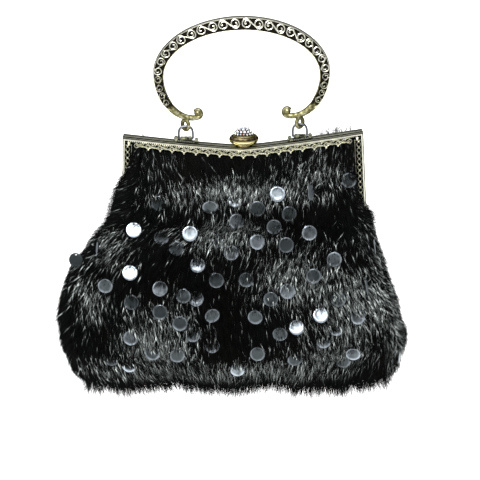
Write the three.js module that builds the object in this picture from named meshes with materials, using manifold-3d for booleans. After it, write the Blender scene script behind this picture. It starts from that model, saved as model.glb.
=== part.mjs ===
// Fur evening bag on a metal clasp frame, hanging from its handle.
// Millimetres, +Z up, the front faces -Y. The origin is the top of the handle's opening,
// where a hand or a hook carries it.

import * as THREE from 'three';
import { mergeVertices } from 'three/addons/utils/BufferGeometryUtils.js';
import Module from 'manifold-3d';

const wasm = await Module();
wasm.setup();

// ---------------------------------------------------------------- driving dimensions

const GAP = 0.3; // between two pieces that touch

const HANDLE = {
  reach: 53.6, // half width of the bar's centre line
  middle: -28.9, // height of its widest point
  crown: 4.5, // centre line at the top: half the bar's width above the origin
};
const FOOT_PULL = { sideZ: -44, footX: 43, footZ: -58.5 }; // how the side bends into the foot
const CURL = { x: 29, z: -53.4, start: 3.0, turned: 2.3, sweep: 240 }; // the curled end and its eye
const EYE = { x: 37.1, z: -61.1, core: 3.1, wire: 1.05, turned: 43 }; // ring under each foot

// Bar section at stations along one half of the handle: share of the half's length,
// width in the plane of the handle, thickness front to back.
const BAR = [
  { at: 0.0, width: 9.0, thick: 6.0 },
  { at: 0.3, width: 8.5, thick: 5.8 },
  { at: 0.53, width: 7.4, thick: 5.4 },
  { at: 0.72, width: 5.8, thick: 4.6 },
  { at: 0.84, width: 4.1, thick: 4.2 },
  { at: 0.905, width: 3.6, thick: 3.9 },
  { at: 0.95, width: 2.5, thick: 3.5 },
  { at: 1.0, width: 2.1, thick: 3.0 },
];
// How finely the bar is divided: rings up to a share of the half's length.
const BAR_RINGS = [
  { name: 'arch and side', upTo: 0.74, count: 14 },
  { name: 'foot', upTo: 0.89, count: 4 },
  { name: 'curl', upTo: 1.0, count: 8 },
];
// Raised S-scrolls: pairs of spirals, where they end, spiral radius as a share of the bar's width,
// degrees that each spiral turns, its eye as a share of its radius, line width, height and root.
const SCROLL = {
  pairs: 14,
  end: 0.735,
  share: 0.35,
  turned: 340,
  eye: 0.34,
  steps: 4,
  line: 0.9,
  rise: 0.55,
  root: 0.2,
};

const STIRRUP = { wire: 0.7, half: 4.6, flat: 1.6, shoulder: 4.2, corner: 1.2, pivotZ: -70.4, endIn: 2.0 };
const STIRRUP_TOP = EYE.z - (EYE.core - EYE.wire) + GAP + STIRRUP.wire;

const FRAME = {
  half: 77.9, // half width over the corners
  middleZ: -76.4, // top of the frame at its middle
  dip: 9.0, // how far the corners stand above the middle
  bend: 1.2, // power of the saddle curve
  depth: 6.0, // each half, front to back
  band: 6.6, // height of the face band
  sheet: 1.0, // thickness of the band
  web: 1.3, // thickness of the top
  armZ: -121.0, // lower end of the arms
  armOut: 80.4, // half width at the lower end
  parting: 0.2, // half of the slit between the two halves
  spans: 12, // straight pieces that make up the saddle
};
// Corners of the frame's top, from the slit out to the lip: depth, and height over the frame's edge.
// 'lip' rows are measured from the outer face, the others from the slit between the halves.
const FRAME_SECTION = [
  { name: 'slit', deep: 0.2, up: 0 },
  { name: 'inner bead', deep: 2.9, up: 0 },
  { name: 'groove', deep: 3.3, up: -0.45 },
  { name: 'outer bead', deep: 3.7, up: 0 },
  { name: 'shoulder', deep: 5.4, up: 0 },
  { name: 'corner', deep: 6.0, up: -0.7 },
  { name: 'lip', deep: 6.0, up: -1.4 },
  { name: 'under the lip', deep: 5.5, up: -2.0 },
  { name: 'behind the band', deep: 4.6, up: -1.3 },
  { name: 'underside', deep: 0.2, up: -1.3 },
];
const PIERCING = { pitch: 7.7, arch: 2.0, diamond: 2.2, diamondZ: -4.3, perArm: 4, sunk: 0.25, top: 0.8 };
// One scallop between two points of the band: share of the pitch, and share of the arch's height.
const SCALLOP = [
  { along: 0.28, up: 0.75 },
  { along: 0.5, up: 1 },
  { along: 0.72, up: 0.75 },
];
const HINGE_PIN = { radius: 1.5, z: -117.0, in: 4.0, proud: 0.6 };

const LUG = { barrel: 1.7, bore: 1.05, foot: 16.0, high: 1.1, deep: 4.4, curl: 1.3, stand: 1.6, root: 3.0 };

const KNOB = {
  x: 0.6,
  foot: 5.4, // radius where the collar stands on the frame
  wide: 9.7, // radius of the collar at its widest
  wideZ: -71.4,
  topZ: -69.0,
  recess: 7.75,
  recessZ: -71.7,
  bore: 2.4,
  rim: 7.35, // radius of the button
  rimZ: -68.2, // top of the button's rim
  rimThick: 1.4,
  stem: 2.0,
  stemZ: -74.2,
  dome: 4.0, // height of the setting under the stones
  sides: 16,
};
// Outside of the collar from its foot to its lip: radius and height as offsets from the sizes above.
const COLLAR = {
  waistUp: 3.2,
  bulge: 1.2,
  bulgeDown: 2.3,
  shoulder: 0.8,
  shoulderDown: 0.6,
  lip: 0.5,
  lipDown: 0.3,
};
// Round stones: girdle and table widths and crown height; then their rings, by lean from upright.
const STONES = { width: 2.9, table: 1.5, crown: 0.9, sides: 8, sunk: 0.25 };
const STONE_RINGS = [
  { lean: 0, count: 1, shift: 0 },
  { lean: 34, count: 5, shift: 0 },
  { lean: 65, count: 10, shift: 0.25 },
];
const SETTING_LEANS = [12, 36, 60];

// The pouch, from its mouth in the frame down to the hem seam: share of the way down,
// its left and right sides, and half its depth front to back.
const POUCH = [
  { name: 'mouth', drop: 0.0, left: -75.1, right: 75.1, depth: 4.6 },
  { name: 'band', drop: 0.045, left: -75.0, right: 75.0, depth: 4.4 },
  { name: 'arms', drop: 0.12, left: -74.8, right: 74.8, depth: 8.5 },
  { name: 'hinges', drop: 0.325, left: -74.4, right: 74.4, depth: 13.2 },
  { name: 'shoulder', drop: 0.41, left: -95.5, right: 80.5, depth: 18.5 },
  { name: 'waist', drop: 0.5, left: -107.5, right: 84, depth: 21 },
  { name: 'hip', drop: 0.62, left: -118, right: 89.5, depth: 23 },
  { name: 'belly', drop: 0.76, left: -119, right: 96.5, depth: 24 },
  { name: 'low', drop: 0.88, left: -118, right: 99.5, depth: 21 },
  { name: 'hem', drop: 0.965, left: -114, right: 98, depth: 13 },
  { name: 'seam', drop: 1.0, left: -107, right: 91, depth: 6 },
];
const CLOTH = 1.5; // skin and lining together
const SEAM_Z = -238;
const HEM_NOTCHES = [
  { x: -51, half: 9, up: 5 },
  { x: 17, half: 9, up: 4 },
];

// Folds of the pouch: centre, half width, half height, and how far the cloth stands out there.
const FRONT_FOLDS = [
  { name: 'upper swag', x: 8, z: -113, wide: 42, tall: 8, out: 2.5 },
  { name: 'under the swag', x: 0, z: -126, wide: 46, tall: 6, out: -2.5 },
  { name: 'second swag', x: -14, z: -138, wide: 34, tall: 8, out: 2.5 },
  { name: 'middle valley', x: -9, z: -188, wide: 20, tall: 44, out: -7 },
  { name: 'left lobe', x: -62, z: -198, wide: 26, tall: 40, out: 4.5 },
  { name: 'right lobe', x: 50, z: -180, wide: 36, tall: 34, out: 4.5 },
  { name: 'left hem tuck', x: -51, z: -232, wide: 8, tall: 22, out: -4 },
  { name: 'right hem tuck', x: 17, z: -232, wide: 8, tall: 22, out: -4 },
];
const BACK_FOLDS = [
  { name: 'middle valley', x: 0, z: -190, wide: 18, tall: 46, out: -5 },
  { name: 'left lobe', x: -56, z: -190, wide: 30, tall: 40, out: 3.5 },
  { name: 'right lobe', x: 50, z: -188, wide: 30, tall: 40, out: 3.5 },
];

// Length that the pile stands off the cloth, from the frame down to the hem.
const PILE = [
  { drop: 0.0, deep: 2.4 },
  { drop: 0.12, deep: 4.5 },
  { drop: 0.25, deep: 8.0 },
  { drop: 0.45, deep: 9.8 },
  { drop: 0.9, deep: 10.0 },
  { drop: 1.0, deep: 9.0 },
];
const SQUARED = { turn: 0.22, power: 0.8 }; // how the pouch's section fills out from an ellipse
// Locks of the pile: rows down the pouch, locks round it, where the rows start, how far long and
// short locks reach as shares of a row, and their stand-off at root, long tip and short tip.
const LOCKS = {
  rows: 6,
  around: 34,
  start: 0.048,
  long: 1.28,
  short: 0.82,
  hemLong: 1.2,
  hemShort: 1.0,
  root: 0.7,
  tip: 1.06,
  thin: 0.84,
  ragged: 0.12,
  hemDepth: 0.45,
  clear: 3.5, // left free outside the frame
  parted: 1.9, // left free in front of and behind the frame
};

const DISC = { radius: 5.0, thick: 0.5, sides: 10, lift: 0.45, samples: 5 };
// The main paillettes, sewn on the front in courses: height, and the places along each course.
const COURSES = [
  { z: -104, across: [22, 43] },
  { z: -113, across: [-55, -22, 8] },
  { z: -121, across: [-5, 29] },
  { z: -128, across: [-71, -35] },
  { z: -132, across: [42, 9] },
  { z: -140, across: [-9, -44] },
  { z: -147, across: [58] },
  { z: -154, across: [-74, 44] },
  { z: -159, across: [-20, 1] },
  { z: -166, across: [27, -56] },
  { z: -172, across: [16, -40] },
  { z: -175, across: [60, -75] },
  { z: -183, across: [49, 74] },
  { z: -186, across: [6, -22] },
  { z: -192, across: [33, -44] },
  { z: -196, across: [60, 22] },
  { z: -203, across: [51, -77] },
  { z: -209, across: [-46, 7, -22] },
  { z: -217, across: [32, 70] },
  { z: -222, across: [-7] },
];

// ---------------------------------------------------------------- shared shape tools

const toRadians = THREE.MathUtils.degToRad;

// Value of a named column at a place along a table, eased between its rows.
function between(table, key, at, column) {
  const last = table.length - 1;
  let row = 0;
  while (row < last - 1 && at > table[row + 1][key]) row += 1;
  const from = table[row];
  const to = table[row + 1];
  const share = (at - from[key]) / (to[key] - from[key]);
  const before = table[Math.max(row - 1, 0)];
  const after = table[Math.min(row + 2, last)];
  const slope = (a, b) => (a === b ? 0 : (b[column] - a[column]) / (b[key] - a[key]));
  const span = to[key] - from[key];
  const t = THREE.MathUtils.clamp(share, 0, 1);
  const eased =
    (2 * t ** 3 - 3 * t ** 2 + 1) * from[column] +
    (t ** 3 - 2 * t ** 2 + t) * span * slope(before, to) +
    (3 * t ** 2 - 2 * t ** 3) * to[column] +
    (t ** 3 - t ** 2) * span * slope(from, after);
  return eased;
}

// A closed body from rings of points. Neighbouring rings have as many points, or twice as many.
// 'fan' closes an end round its middle, 'zip' joins the ring's front to its back.
function skin(rings, ends = 'fan') {
  const points = [];
  const faces = [];
  const starts = rings.map((ring) => points.push(...ring) - ring.length);
  for (let r = 0; r + 1 < rings.length; r += 1) {
    const a = starts[r];
    const b = starts[r + 1];
    const na = rings[r].length;
    const nb = rings[r + 1].length;
    for (let i = 0; i < Math.min(na, nb); i += 1) {
      if (na === nb) {
        const j = (i + 1) % na;
        faces.push([a + i, a + j, b + j], [a + i, b + j, b + i]);
      } else if (nb > na) {
        const j = (i + 1) % na;
        const k = (2 * i + 2) % nb;
        const middle = b + 2 * i + 1;
        faces.push([a + i, middle, middle - 1], [a + i, a + j, middle], [a + j, b + k, middle]);
      } else {
        const j = (i + 1) % nb;
        const k = (2 * i + 2) % na;
        const middle = a + 2 * i + 1;
        faces.push([middle - 1, middle, b + i], [middle, b + j, b + i], [middle, a + k, b + j]);
      }
    }
  }
  const close = (start, count, flip) => {
    const put = (p, q, r) => faces.push(flip ? [p, r, q] : [p, q, r]);
    if (ends === 'zip') {
      for (let i = 0; i < count / 2; i += 1) {
        const front = [start + i, start + i + 1];
        const back = [start + ((count - i) % count), start + count - i - 1];
        if (front[0] !== back[0]) put(front[0], back[0], front[1]);
        if (front[1] !== back[1]) put(front[1], back[0], back[1]);
      }
      return;
    }
    const middle = new THREE.Vector3();
    for (let i = 0; i < count; i += 1) middle.addScaledVector(points[start + i], 1 / count);
    const hub = points.push(middle) - 1;
    for (let i = 0; i < count; i += 1) put(hub, start + ((i + 1) % count), start + i);
  };
  close(starts[0], rings[0].length, false);
  close(starts.at(-1), rings.at(-1).length, true);
  return closedBody(points, faces);
}

function closedBody(points, faces) {
  let volume = 0;
  for (const [a, b, c] of faces) {
    volume += points[a].dot(new THREE.Vector3().crossVectors(points[b], points[c]));
  }
  const body = new THREE.BufferGeometry();
  body.setAttribute('position', new THREE.Float32BufferAttribute(points.flatMap((p) => p.toArray()), 3));
  body.setIndex(faces.flatMap(([a, b, c]) => (volume > 0 ? [a, b, c] : [a, c, b])));
  return body;
}

function toSolid(geometry) {
  const bare = geometry.clone();
  bare.deleteAttribute('normal');
  bare.deleteAttribute('uv');
  const merged = mergeVertices(bare, 1e-4);
  return new wasm.Manifold(
    new wasm.Mesh({
      numProp: 3,
      vertProperties: new Float32Array(merged.attributes.position.array),
      triVerts: new Uint32Array(merged.index.array),
    }),
  );
}

function toGeometry(solid) {
  const mesh = solid.getMesh();
  const geometry = new THREE.BufferGeometry();
  geometry.setAttribute('position', new THREE.BufferAttribute(mesh.vertProperties, 3));
  geometry.setIndex(new THREE.BufferAttribute(mesh.triVerts, 1));
  return geometry;
}

const join = (first, ...others) => others.reduce((sum, next) => sum.add(next), first);
const cut = (first, ...others) => others.reduce((rest, next) => rest.subtract(next), first);

function placed(geometry, x, y, z, turn = [0, 0, 0]) {
  const matrix = new THREE.Matrix4().makeRotationFromEuler(new THREE.Euler(...turn.map(toRadians)));
  return geometry.clone().applyMatrix4(matrix.setPosition(x, y, z));
}

// ---------------------------------------------------------------- handle

// One half of the bar's centre line in its own plane: crown, side, foot, then the curl.
class HalfHandle extends THREE.Curve {
  constructor() {
    super();
    const rise = HANDLE.crown - HANDLE.middle;
    const arch = new THREE.EllipseCurve(0, HANDLE.middle, HANDLE.reach, rise, Math.PI / 2, 0, true);
    const side = new THREE.CubicBezierCurve(
      new THREE.Vector2(HANDLE.reach, HANDLE.middle),
      new THREE.Vector2(HANDLE.reach, FOOT_PULL.sideZ),
      new THREE.Vector2(FOOT_PULL.footX, FOOT_PULL.footZ),
      new THREE.Vector2(CURL.x, CURL.z - CURL.start),
    );
    const curl = new THREE.Curve();
    curl.getPoint = (t, target = new THREE.Vector2()) => {
      const angle = toRadians(-90 - CURL.sweep * t);
      const radius = THREE.MathUtils.lerp(CURL.start, CURL.turned, Math.min(1, 2.5 * t));
      return target.set(CURL.x + radius * Math.cos(angle), CURL.z + radius * Math.sin(angle));
    };
    this.path = new THREE.CurvePath();
    this.path.curves.push(arch, side, curl);
  }

  getPoint(t, target = new THREE.Vector2()) {
    return target.copy(this.path.getPointAt(t));
  }
}

const halfHandle = new HalfHandle();
const halfLength = halfHandle.path.getLength();

// Centre, outward direction and section of the bar at a place from -1, the left tip, to 1, the right.
function barAt(place) {
  const share = Math.min(Math.abs(place), 1);
  const side = place < 0 ? -1 : 1;
  const centre = halfHandle.getPoint(share);
  const step = 0.002;
  const ahead = halfHandle.getPoint(Math.min(share + step, 1));
  const behind = share < step ? new THREE.Vector2(-ahead.x, ahead.y) : halfHandle.getPoint(share - step);
  const along = ahead.sub(behind).normalize();
  return {
    centre: new THREE.Vector3(side * centre.x, 0, centre.y),
    out: new THREE.Vector3(side * -along.y, 0, along.x),
    along: new THREE.Vector3(along.x, 0, side * along.y),
    width: between(BAR, 'at', share, 'width'),
    thick: between(BAR, 'at', share, 'thick'),
  };
}

// Corners of the bar's eight-sided section, as shares of its width and thickness.
const BAR_CORNERS = [
  [0.5, -0.2], [0.34, -0.5], [-0.34, -0.5], [-0.5, -0.2], [-0.5, 0.2], [-0.34, 0.5], [0.34, 0.5], [0.5, 0.2],
];

function barSolid() {
  const half = [0];
  for (const { upTo, count } of BAR_RINGS) {
    const from = half.at(-1);
    for (let i = 1; i <= count; i += 1) half.push(THREE.MathUtils.lerp(from, upTo, i / count));
  }
  const places = [...half.slice(1).reverse().map((p) => -p), ...half];
  const rings = places.map((place) => {
    const bar = barAt(place);
    return BAR_CORNERS.map(([across, deep]) =>
      bar.centre
        .clone()
        .addScaledVector(bar.out, across * bar.width)
        .add(new THREE.Vector3(0, deep * bar.thick, 0)),
    );
  });
  return toSolid(skin(rings));
}

// One raised S on the front face: two spirals joined by a stroke across the bar.
function scrollSolid(place, spacing) {
  const bar = barAt(place);
  const { turned: turn, eye, steps, root, rise } = SCROLL;
  const radius = SCROLL.share * bar.width;
  const path = [];
  for (let i = 0; i <= steps; i += 1) {
    const t = i / steps;
    const angle = toRadians(90 + turn * (1 - t));
    const r = radius * THREE.MathUtils.lerp(eye, 1, t);
    path.push([-spacing / 2 + r * Math.cos(angle), r * Math.sin(angle)]);
  }
  for (const [u, v] of [...path].reverse()) path.push([-u, -v]);
  const surface = (u, v, height) => {
    const at = barAt(place + u / halfLength);
    return at.centre
      .clone()
      .addScaledVector(at.out, v)
      .add(new THREE.Vector3(0, -(at.thick / 2 + height), 0));
  };
  const line = SCROLL.line * (bar.width / BAR[0].width);
  const rings = path.map(([u, v], i) => {
    const [u0, v0] = path[Math.max(i - 1, 0)];
    const [u1, v1] = path[Math.min(i + 1, path.length - 1)];
    const length = Math.hypot(u1 - u0, v1 - v0);
    const side = [(-(v1 - v0) * line) / 2 / length, ((u1 - u0) * line) / 2 / length];
    return [
      surface(u + side[0], v + side[1], -root),
      surface(u, v, rise),
      surface(u - side[0], v - side[1], -root),
    ];
  });
  return toSolid(skin(rings));
}

// Centres of the S pairs, spaced by the bar's own width so that the scroll shrinks with it.
function scrollPlaces() {
  const samples = 400;
  const sums = [0];
  for (let i = 0; i < samples; i += 1) {
    const place = SCROLL.end * (-1 + (2 * (i + 0.5)) / samples);
    sums.push(sums.at(-1) + 1 / barAt(place).width);
  }
  const places = [];
  for (let pair = 0; pair < SCROLL.pairs; pair += 1) {
    const target = (sums.at(-1) * (pair + 0.5)) / SCROLL.pairs;
    const index = sums.findIndex((sum) => sum >= target);
    places.push(SCROLL.end * (-1 + (2 * index) / samples));
  }
  const pairLength = (barAt(0).width * sums.at(-1) * 2 * SCROLL.end * halfLength) / samples / SCROLL.pairs;
  return places.map((place) => {
    const spacing = (pairLength / 2) * (barAt(place).width / barAt(0).width);
    return { place, spacing };
  });
}

function handle() {
  const parts = [barSolid()];
  for (const side of [-1, 1]) {
    const ring = new THREE.TorusGeometry(EYE.core, EYE.wire, 6, 14);
    ring.rotateY(Math.PI / 2);
    ring.rotateZ(toRadians(-side * EYE.turned));
    parts.push(toSolid(ring.translate(side * EYE.x, 0, EYE.z)));
  }
  for (const { place, spacing } of scrollPlaces()) parts.push(scrollSolid(place, spacing));
  return join(...parts);
}

// ---------------------------------------------------------------- stirrups and lugs

// Wire stirrup: a flat top in the handle's eye, sloping shoulders, straight legs,
// and ends turned inwards to pivot in the lug.
function stirrup(side) {
  const { half, flat, shoulder, corner, pivotZ, endIn, wire } = STIRRUP;
  const halfPath = [[0, STIRRUP_TOP], [flat, STIRRUP_TOP]];
  for (const degrees of [60, 30, 0]) {
    const angle = toRadians(degrees);
    const x = flat + (half - flat) * Math.cos(angle);
    halfPath.push([x, STIRRUP_TOP - shoulder + shoulder * Math.sin(angle)]);
  }
  halfPath.push([half, pivotZ + corner]);
  halfPath.push([half - corner * 0.3, pivotZ + corner * 0.3]);
  halfPath.push([half - corner, pivotZ]);
  halfPath.push([half - endIn - wire, pivotZ]);
  const points = [...halfPath.slice(1).reverse().map(([x, z]) => [-x, z]), ...halfPath];
  const corners = points.map(([x, z]) => new THREE.Vector3(side * EYE.x + x, 0, z));
  return sweep(corners, 6, wire);
}

// A round wire through the given points, which all lie in one XZ plane.
function sweep(points, sides, radius) {
  const last = points.length - 1;
  const rings = points.map((point, i) => {
    const before = points[Math.max(i - 1, 0)];
    const after = points[Math.min(i + 1, last)];
    const into = new THREE.Vector3().subVectors(point, before).normalize();
    const away = new THREE.Vector3().subVectors(after, point).normalize();
    const along = i === 0 ? away : i === last ? into : into.clone().add(away).normalize();
    const across = new THREE.Vector3(along.z, 0, -along.x);
    const mitre = i === 0 || i === last ? 1 : 1 / along.dot(away);
    return Array.from({ length: sides }, (_, k) => {
      const angle = (2 * Math.PI * (k + 0.5)) / sides;
      return point
        .clone()
        .addScaledVector(across, radius * mitre * Math.cos(angle))
        .add(new THREE.Vector3(0, radius * Math.sin(angle), 0));
    });
  });
  return toSolid(skin(rings));
}

function frameTopZ(x) {
  return FRAME.middleZ + FRAME.dip * Math.min(1, Math.abs(x) / FRAME.half) ** FRAME.bend;
}

// Barrel lug: a bored barrel on a narrow foot that follows the frame's top, a curl at each end.
function lug(side) {
  const { barrel, bore, foot, high, deep, curl, stand, root } = LUG;
  const x = side * EYE.x;
  const barrelLength = 2 * (STIRRUP.half - STIRRUP.wire - GAP);
  const across = (radius, length, sides) =>
    placed(new THREE.CylinderGeometry(radius, radius, length, sides), x, 0, STIRRUP.pivotZ, [0, 0, 90]);
  const footTop = frameTopZ(x) + GAP + high;
  const plate = new THREE.BoxGeometry(foot, deep, root);
  plate.rotateY(-Math.atan2(frameTopZ(x + foot / 4) - frameTopZ(x - foot / 4), foot / 2));
  const post = new THREE.BoxGeometry(barrelLength - 1, stand, root);
  const parts = [
    toSolid(across(barrel, barrelLength, 12)),
    toSolid(plate.translate(x, 0, footTop - root / 2)),
    toSolid(post.translate(x, 0, STIRRUP.pivotZ - root / 2)),
  ];
  for (const end of [-1, 1]) {
    const curlX = x + end * (foot / 2 - curl);
    const roll = new THREE.CylinderGeometry(curl, curl, deep, 8);
    parts.push(toSolid(roll.translate(curlX, 0, frameTopZ(curlX) + 2 * GAP + curl)));
  }
  return cut(join(...parts), toSolid(across(bore, barrelLength + 2, 10)), frameBlock(GAP));
}

// ---------------------------------------------------------------- frame

// Path of the frame's outer edge: up the left arm, across the saddle, down the right arm.
function framePath() {
  const { half, armZ, armOut, spans } = FRAME;
  const path = [[-armOut, armZ]];
  for (let i = 0; i <= spans; i += 1) {
    const x = half * (-1 + (2 * i) / spans);
    path.push([x, frameTopZ(x)]);
  }
  path.push([armOut, armZ]);
  return path.map(([x, z]) => new THREE.Vector3(x, 0, z));
}

// The frame's path moved outwards, mitred at its corners.
function frameLine(outward) {
  const path = framePath();
  const last = path.length - 1;
  return path.map((point, i) => {
    const into = new THREE.Vector3().subVectors(point, path[Math.max(i - 1, 0)]).normalize();
    const away = new THREE.Vector3().subVectors(path[Math.min(i + 1, last)], point).normalize();
    const along = i === 0 ? away : i === last ? into : into.clone().add(away).normalize();
    const mitre = i === 0 || i === last ? 1 : 1 / along.dot(away);
    return point.clone().addScaledVector(new THREE.Vector3(-along.z, 0, along.x), outward * mitre);
  });
}

// Sweeps a section of [depth, outward] corners along the frame's path.
function alongFrame(section) {
  const lines = section.map(([, outward]) => frameLine(outward));
  const rings = framePath().map((_, i) =>
    section.map(([deep], k) => lines[k][i].clone().add(new THREE.Vector3(0, deep, 0))),
  );
  return toSolid(skin(rings));
}

// The whole room that the closed frame takes up, with a margin all round.
function frameBlock(margin, outside = margin, deeper = margin) {
  const deep = FRAME.depth + deeper;
  const low = -FRAME.band - margin;
  return alongFrame([[-deep, outside], [-deep, low], [deep, low], [deep, outside]]);
}

function diamond(x, z, wide, tall) {
  const corners = [[x - wide, z], [x, z - tall], [x + wide, z], [x, z + tall]];
  return new THREE.Path(corners.map((corner) => new THREE.Vector2(...corner)));
}

// The face band: a sheet with a scalloped lower edge, pierced with a diamond over each point.
function faceBand(face) {
  const { half, band, sheet, depth, armOut } = FRAME;
  const { pitch, arch, diamond: size, diamondZ, perArm, sunk, top } = PIERCING;
  const flat = (points) => points.map((point) => new THREE.Vector2(point.x, point.z));
  const upper = flat(frameLine(-top));
  const lower = flat(frameLine(-band));
  const motifs = 2 * Math.floor((half - band) / pitch);
  const edge = [lower[0], lower[1]];
  for (let i = 0; i <= motifs; i += 1) {
    const x = (i - motifs / 2) * pitch;
    edge.push(new THREE.Vector2(x, frameTopZ(x) - band));
    if (i === motifs) continue;
    for (const { along, up } of SCALLOP) {
      const at = x + along * pitch;
      edge.push(new THREE.Vector2(at, frameTopZ(at) - band + up * arch));
    }
  }
  edge.push(lower.at(-2), lower.at(-1));
  const shape = new THREE.Shape([...upper, ...edge.reverse()]);
  for (let i = 0; i <= motifs; i += 1) {
    const x = (i - motifs / 2) * pitch;
    shape.holes.push(diamond(x, frameTopZ(x) + diamondZ, size / 2, size / 2));
  }
  for (const side of [-1, 1]) {
    for (let i = 0; i < perArm; i += 1) {
      const z = frameTopZ(half) - band - size - i * pitch;
      const x = side * (THREE.MathUtils.mapLinear(z, frameTopZ(half), FRAME.armZ, half, armOut) - band / 2);
      shape.holes.push(diamond(x, z, size / 2, size));
    }
  }
  const plate = new THREE.ExtrudeGeometry(shape, { depth: sheet, bevelEnabled: false });
  plate.rotateX(Math.PI / 2);
  return toSolid(plate.translate(0, face < 0 ? -depth + sunk + sheet : depth - sunk, 0));
}

// One half of the frame: its top with two beads, fused to the face band.
function frameHalf(face) {
  const section = FRAME_SECTION.map(({ deep, up }) => [face * deep, up]);
  const pins = [-1, 1].map((side) => toSolid(hingePinGeometry(side, GAP)));
  return cut(join(alongFrame(section), faceBand(face)), ...pins);
}

function hingePinGeometry(side, margin = 0) {
  const length = 2 * (FRAME.depth + HINGE_PIN.proud + margin);
  const pin = new THREE.CylinderGeometry(HINGE_PIN.radius + margin, HINGE_PIN.radius + margin, length, 10);
  return pin.translate(side * (FRAME.armOut - HINGE_PIN.in), 0, HINGE_PIN.z);
}

// ---------------------------------------------------------------- clasp knob

function turned(profile, sides) {
  const outline = profile.map(([r, z]) => new THREE.Vector2(r, z));
  return new THREE.LatheGeometry(outline, sides).rotateX(Math.PI / 2);
}

function claspCollar() {
  const { foot, wide, wideZ, topZ, recess, recessZ, bore, sides } = KNOB;
  const { waistUp, bulge, bulgeDown, shoulder, shoulderDown, lip, lipDown } = COLLAR;
  const bottom = FRAME.middleZ + GAP;
  const profile = [
    [bore, bottom],
    [foot, bottom],
    [foot, wideZ - waistUp],
    [wide - bulge, wideZ - bulgeDown],
    [wide, wideZ],
    [wide - shoulder, topZ - shoulderDown],
    [recess + lip, topZ],
    [recess, topZ - lipDown],
    [recess, recessZ],
    [bore, recessZ],
    [bore, bottom],
  ];
  return cut(toSolid(turned(profile, sides).translate(KNOB.x, 0, 0)), frameBlock(GAP));
}

function claspButton() {
  const { rim, rimZ, rimThick, stem, stemZ, sides } = KNOB;
  const { lip, lipDown } = COLLAR;
  const profile = [
    [0, stemZ],
    [stem, stemZ],
    [stem, rimZ - rimThick],
    [rim, rimZ - rimThick],
    [rim, rimZ - lipDown],
    [rim - lip, rimZ],
    [0, rimZ],
  ];
  return toSolid(turned(profile, sides).translate(KNOB.x, 0, 0));
}

// A domed setting with rings of round stones, each an eight-sided crown under a flat table.
function claspStones() {
  const { width, table, crown, sides, sunk } = STONES;
  const base = KNOB.rim - COLLAR.lip;
  const bottom = KNOB.rimZ + GAP;
  const profile = [[0, bottom], [base, bottom]];
  for (const degrees of SETTING_LEANS) {
    const angle = toRadians(degrees);
    profile.push([base * Math.cos(angle), bottom + KNOB.dome * Math.sin(angle)]);
  }
  profile.push([0, bottom + KNOB.dome]);
  const parts = [toSolid(turned(profile, 11).translate(KNOB.x, 0, 0))];
  for (const { lean, count, shift } of STONE_RINGS) {
    for (let i = 0; i < count; i += 1) {
      const stone = new THREE.CylinderGeometry(table / 2, width / 2, crown, sides).rotateX(Math.PI / 2);
      const turn = (2 * Math.PI * (i + shift)) / count;
      const tilt = toRadians(lean);
      const out = new THREE.Vector3(Math.cos(turn), Math.sin(turn), 0).multiplyScalar(Math.sin(tilt));
      out.setZ(Math.cos(tilt));
      stone.applyQuaternion(new THREE.Quaternion().setFromUnitVectors(new THREE.Vector3(0, 0, 1), out));
      const seat = new THREE.Vector3(KNOB.x, 0, bottom).add(
        new THREE.Vector3(out.x * base, out.y * base, out.z * KNOB.dome),
      );
      parts.push(toSolid(stone.translate(...seat.addScaledVector(out, crown / 2 - sunk).toArray())));
    }
  }
  return join(...parts);
}

// ---------------------------------------------------------------- pouch and pile

const bump = (distance) => Math.exp(-distance * distance);

function foldRise(folds, x, z) {
  const riseOf = (fold) => fold.out * bump((x - fold.x) / fold.wide) * bump((z - fold.z) / fold.tall);
  return folds.reduce((sum, fold) => sum + riseOf(fold), 0);
}

function seamZ(x) {
  return HEM_NOTCHES.reduce((z, notch) => z + notch.up * bump((x - notch.x) / notch.half), SEAM_Z);
}

// A point of the pouch: round it by share (0 the right side, a quarter the back, a half the left),
// down it by share, and grown outwards from the cloth's outer face.
function pouchPoint(round, drop, grow) {
  const angle = 2 * Math.PI * round + SQUARED.turn * Math.sin(4 * Math.PI * round);
  const row = (column) => between(POUCH, 'drop', Math.min(drop, 1), column);
  const left = row('left') - grow;
  const right = row('right') + grow;
  const across = Math.cos(angle);
  const deep = Math.sin(angle);
  const x = (left + right) / 2 + (across * (right - left)) / 2;
  const mouthZ = frameTopZ(x) - FRAME.web - 2 * GAP;
  const z = THREE.MathUtils.lerp(mouthZ, seamZ(x), drop);
  const folds = deep < 0 ? FRONT_FOLDS : BACK_FOLDS;
  const settled = Math.min(1, drop / 0.12) * (1 - Math.min(drop, 1) ** 12);
  const rise = foldRise(folds, x, z) * Math.min(1, 1.6 * Math.abs(deep)) * settled;
  const y = Math.sign(deep) * (Math.abs(deep) ** SQUARED.power * (row('depth') + grow) + rise);
  return new THREE.Vector3(x, y, z);
}

function pouchRing(drop, grow, around) {
  return Array.from({ length: around }, (_, i) => pouchPoint(i / around, drop, grow));
}

const POUCH_DROPS = [0, 0.045, 0.12, 0.25, 0.335, 0.37, 0.41, 0.5, 0.62, 0.76, 0.9, 1];

function pouchWall() {
  const floor = CLOTH / (frameTopZ(0) - SEAM_Z);
  const inner = POUCH_DROPS.map((drop) => pouchRing(drop * (1 - 1.2 * floor), -CLOTH, LOCKS.around));
  const outer = POUCH_DROPS.map((drop) => pouchRing(drop, 0, LOCKS.around));
  return toSolid(skin([...inner.reverse(), ...outer], 'zip'));
}

const pileDepth = (drop) => between(PILE, 'drop', Math.min(drop, 1), 'deep');

// Repeatable unevenness for the locks, from -1 to 1.
const uneven = (row, lock) => 2 * ((Math.sin(row * 91.7 + lock * 47.3) * 1000) % 1);

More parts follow.
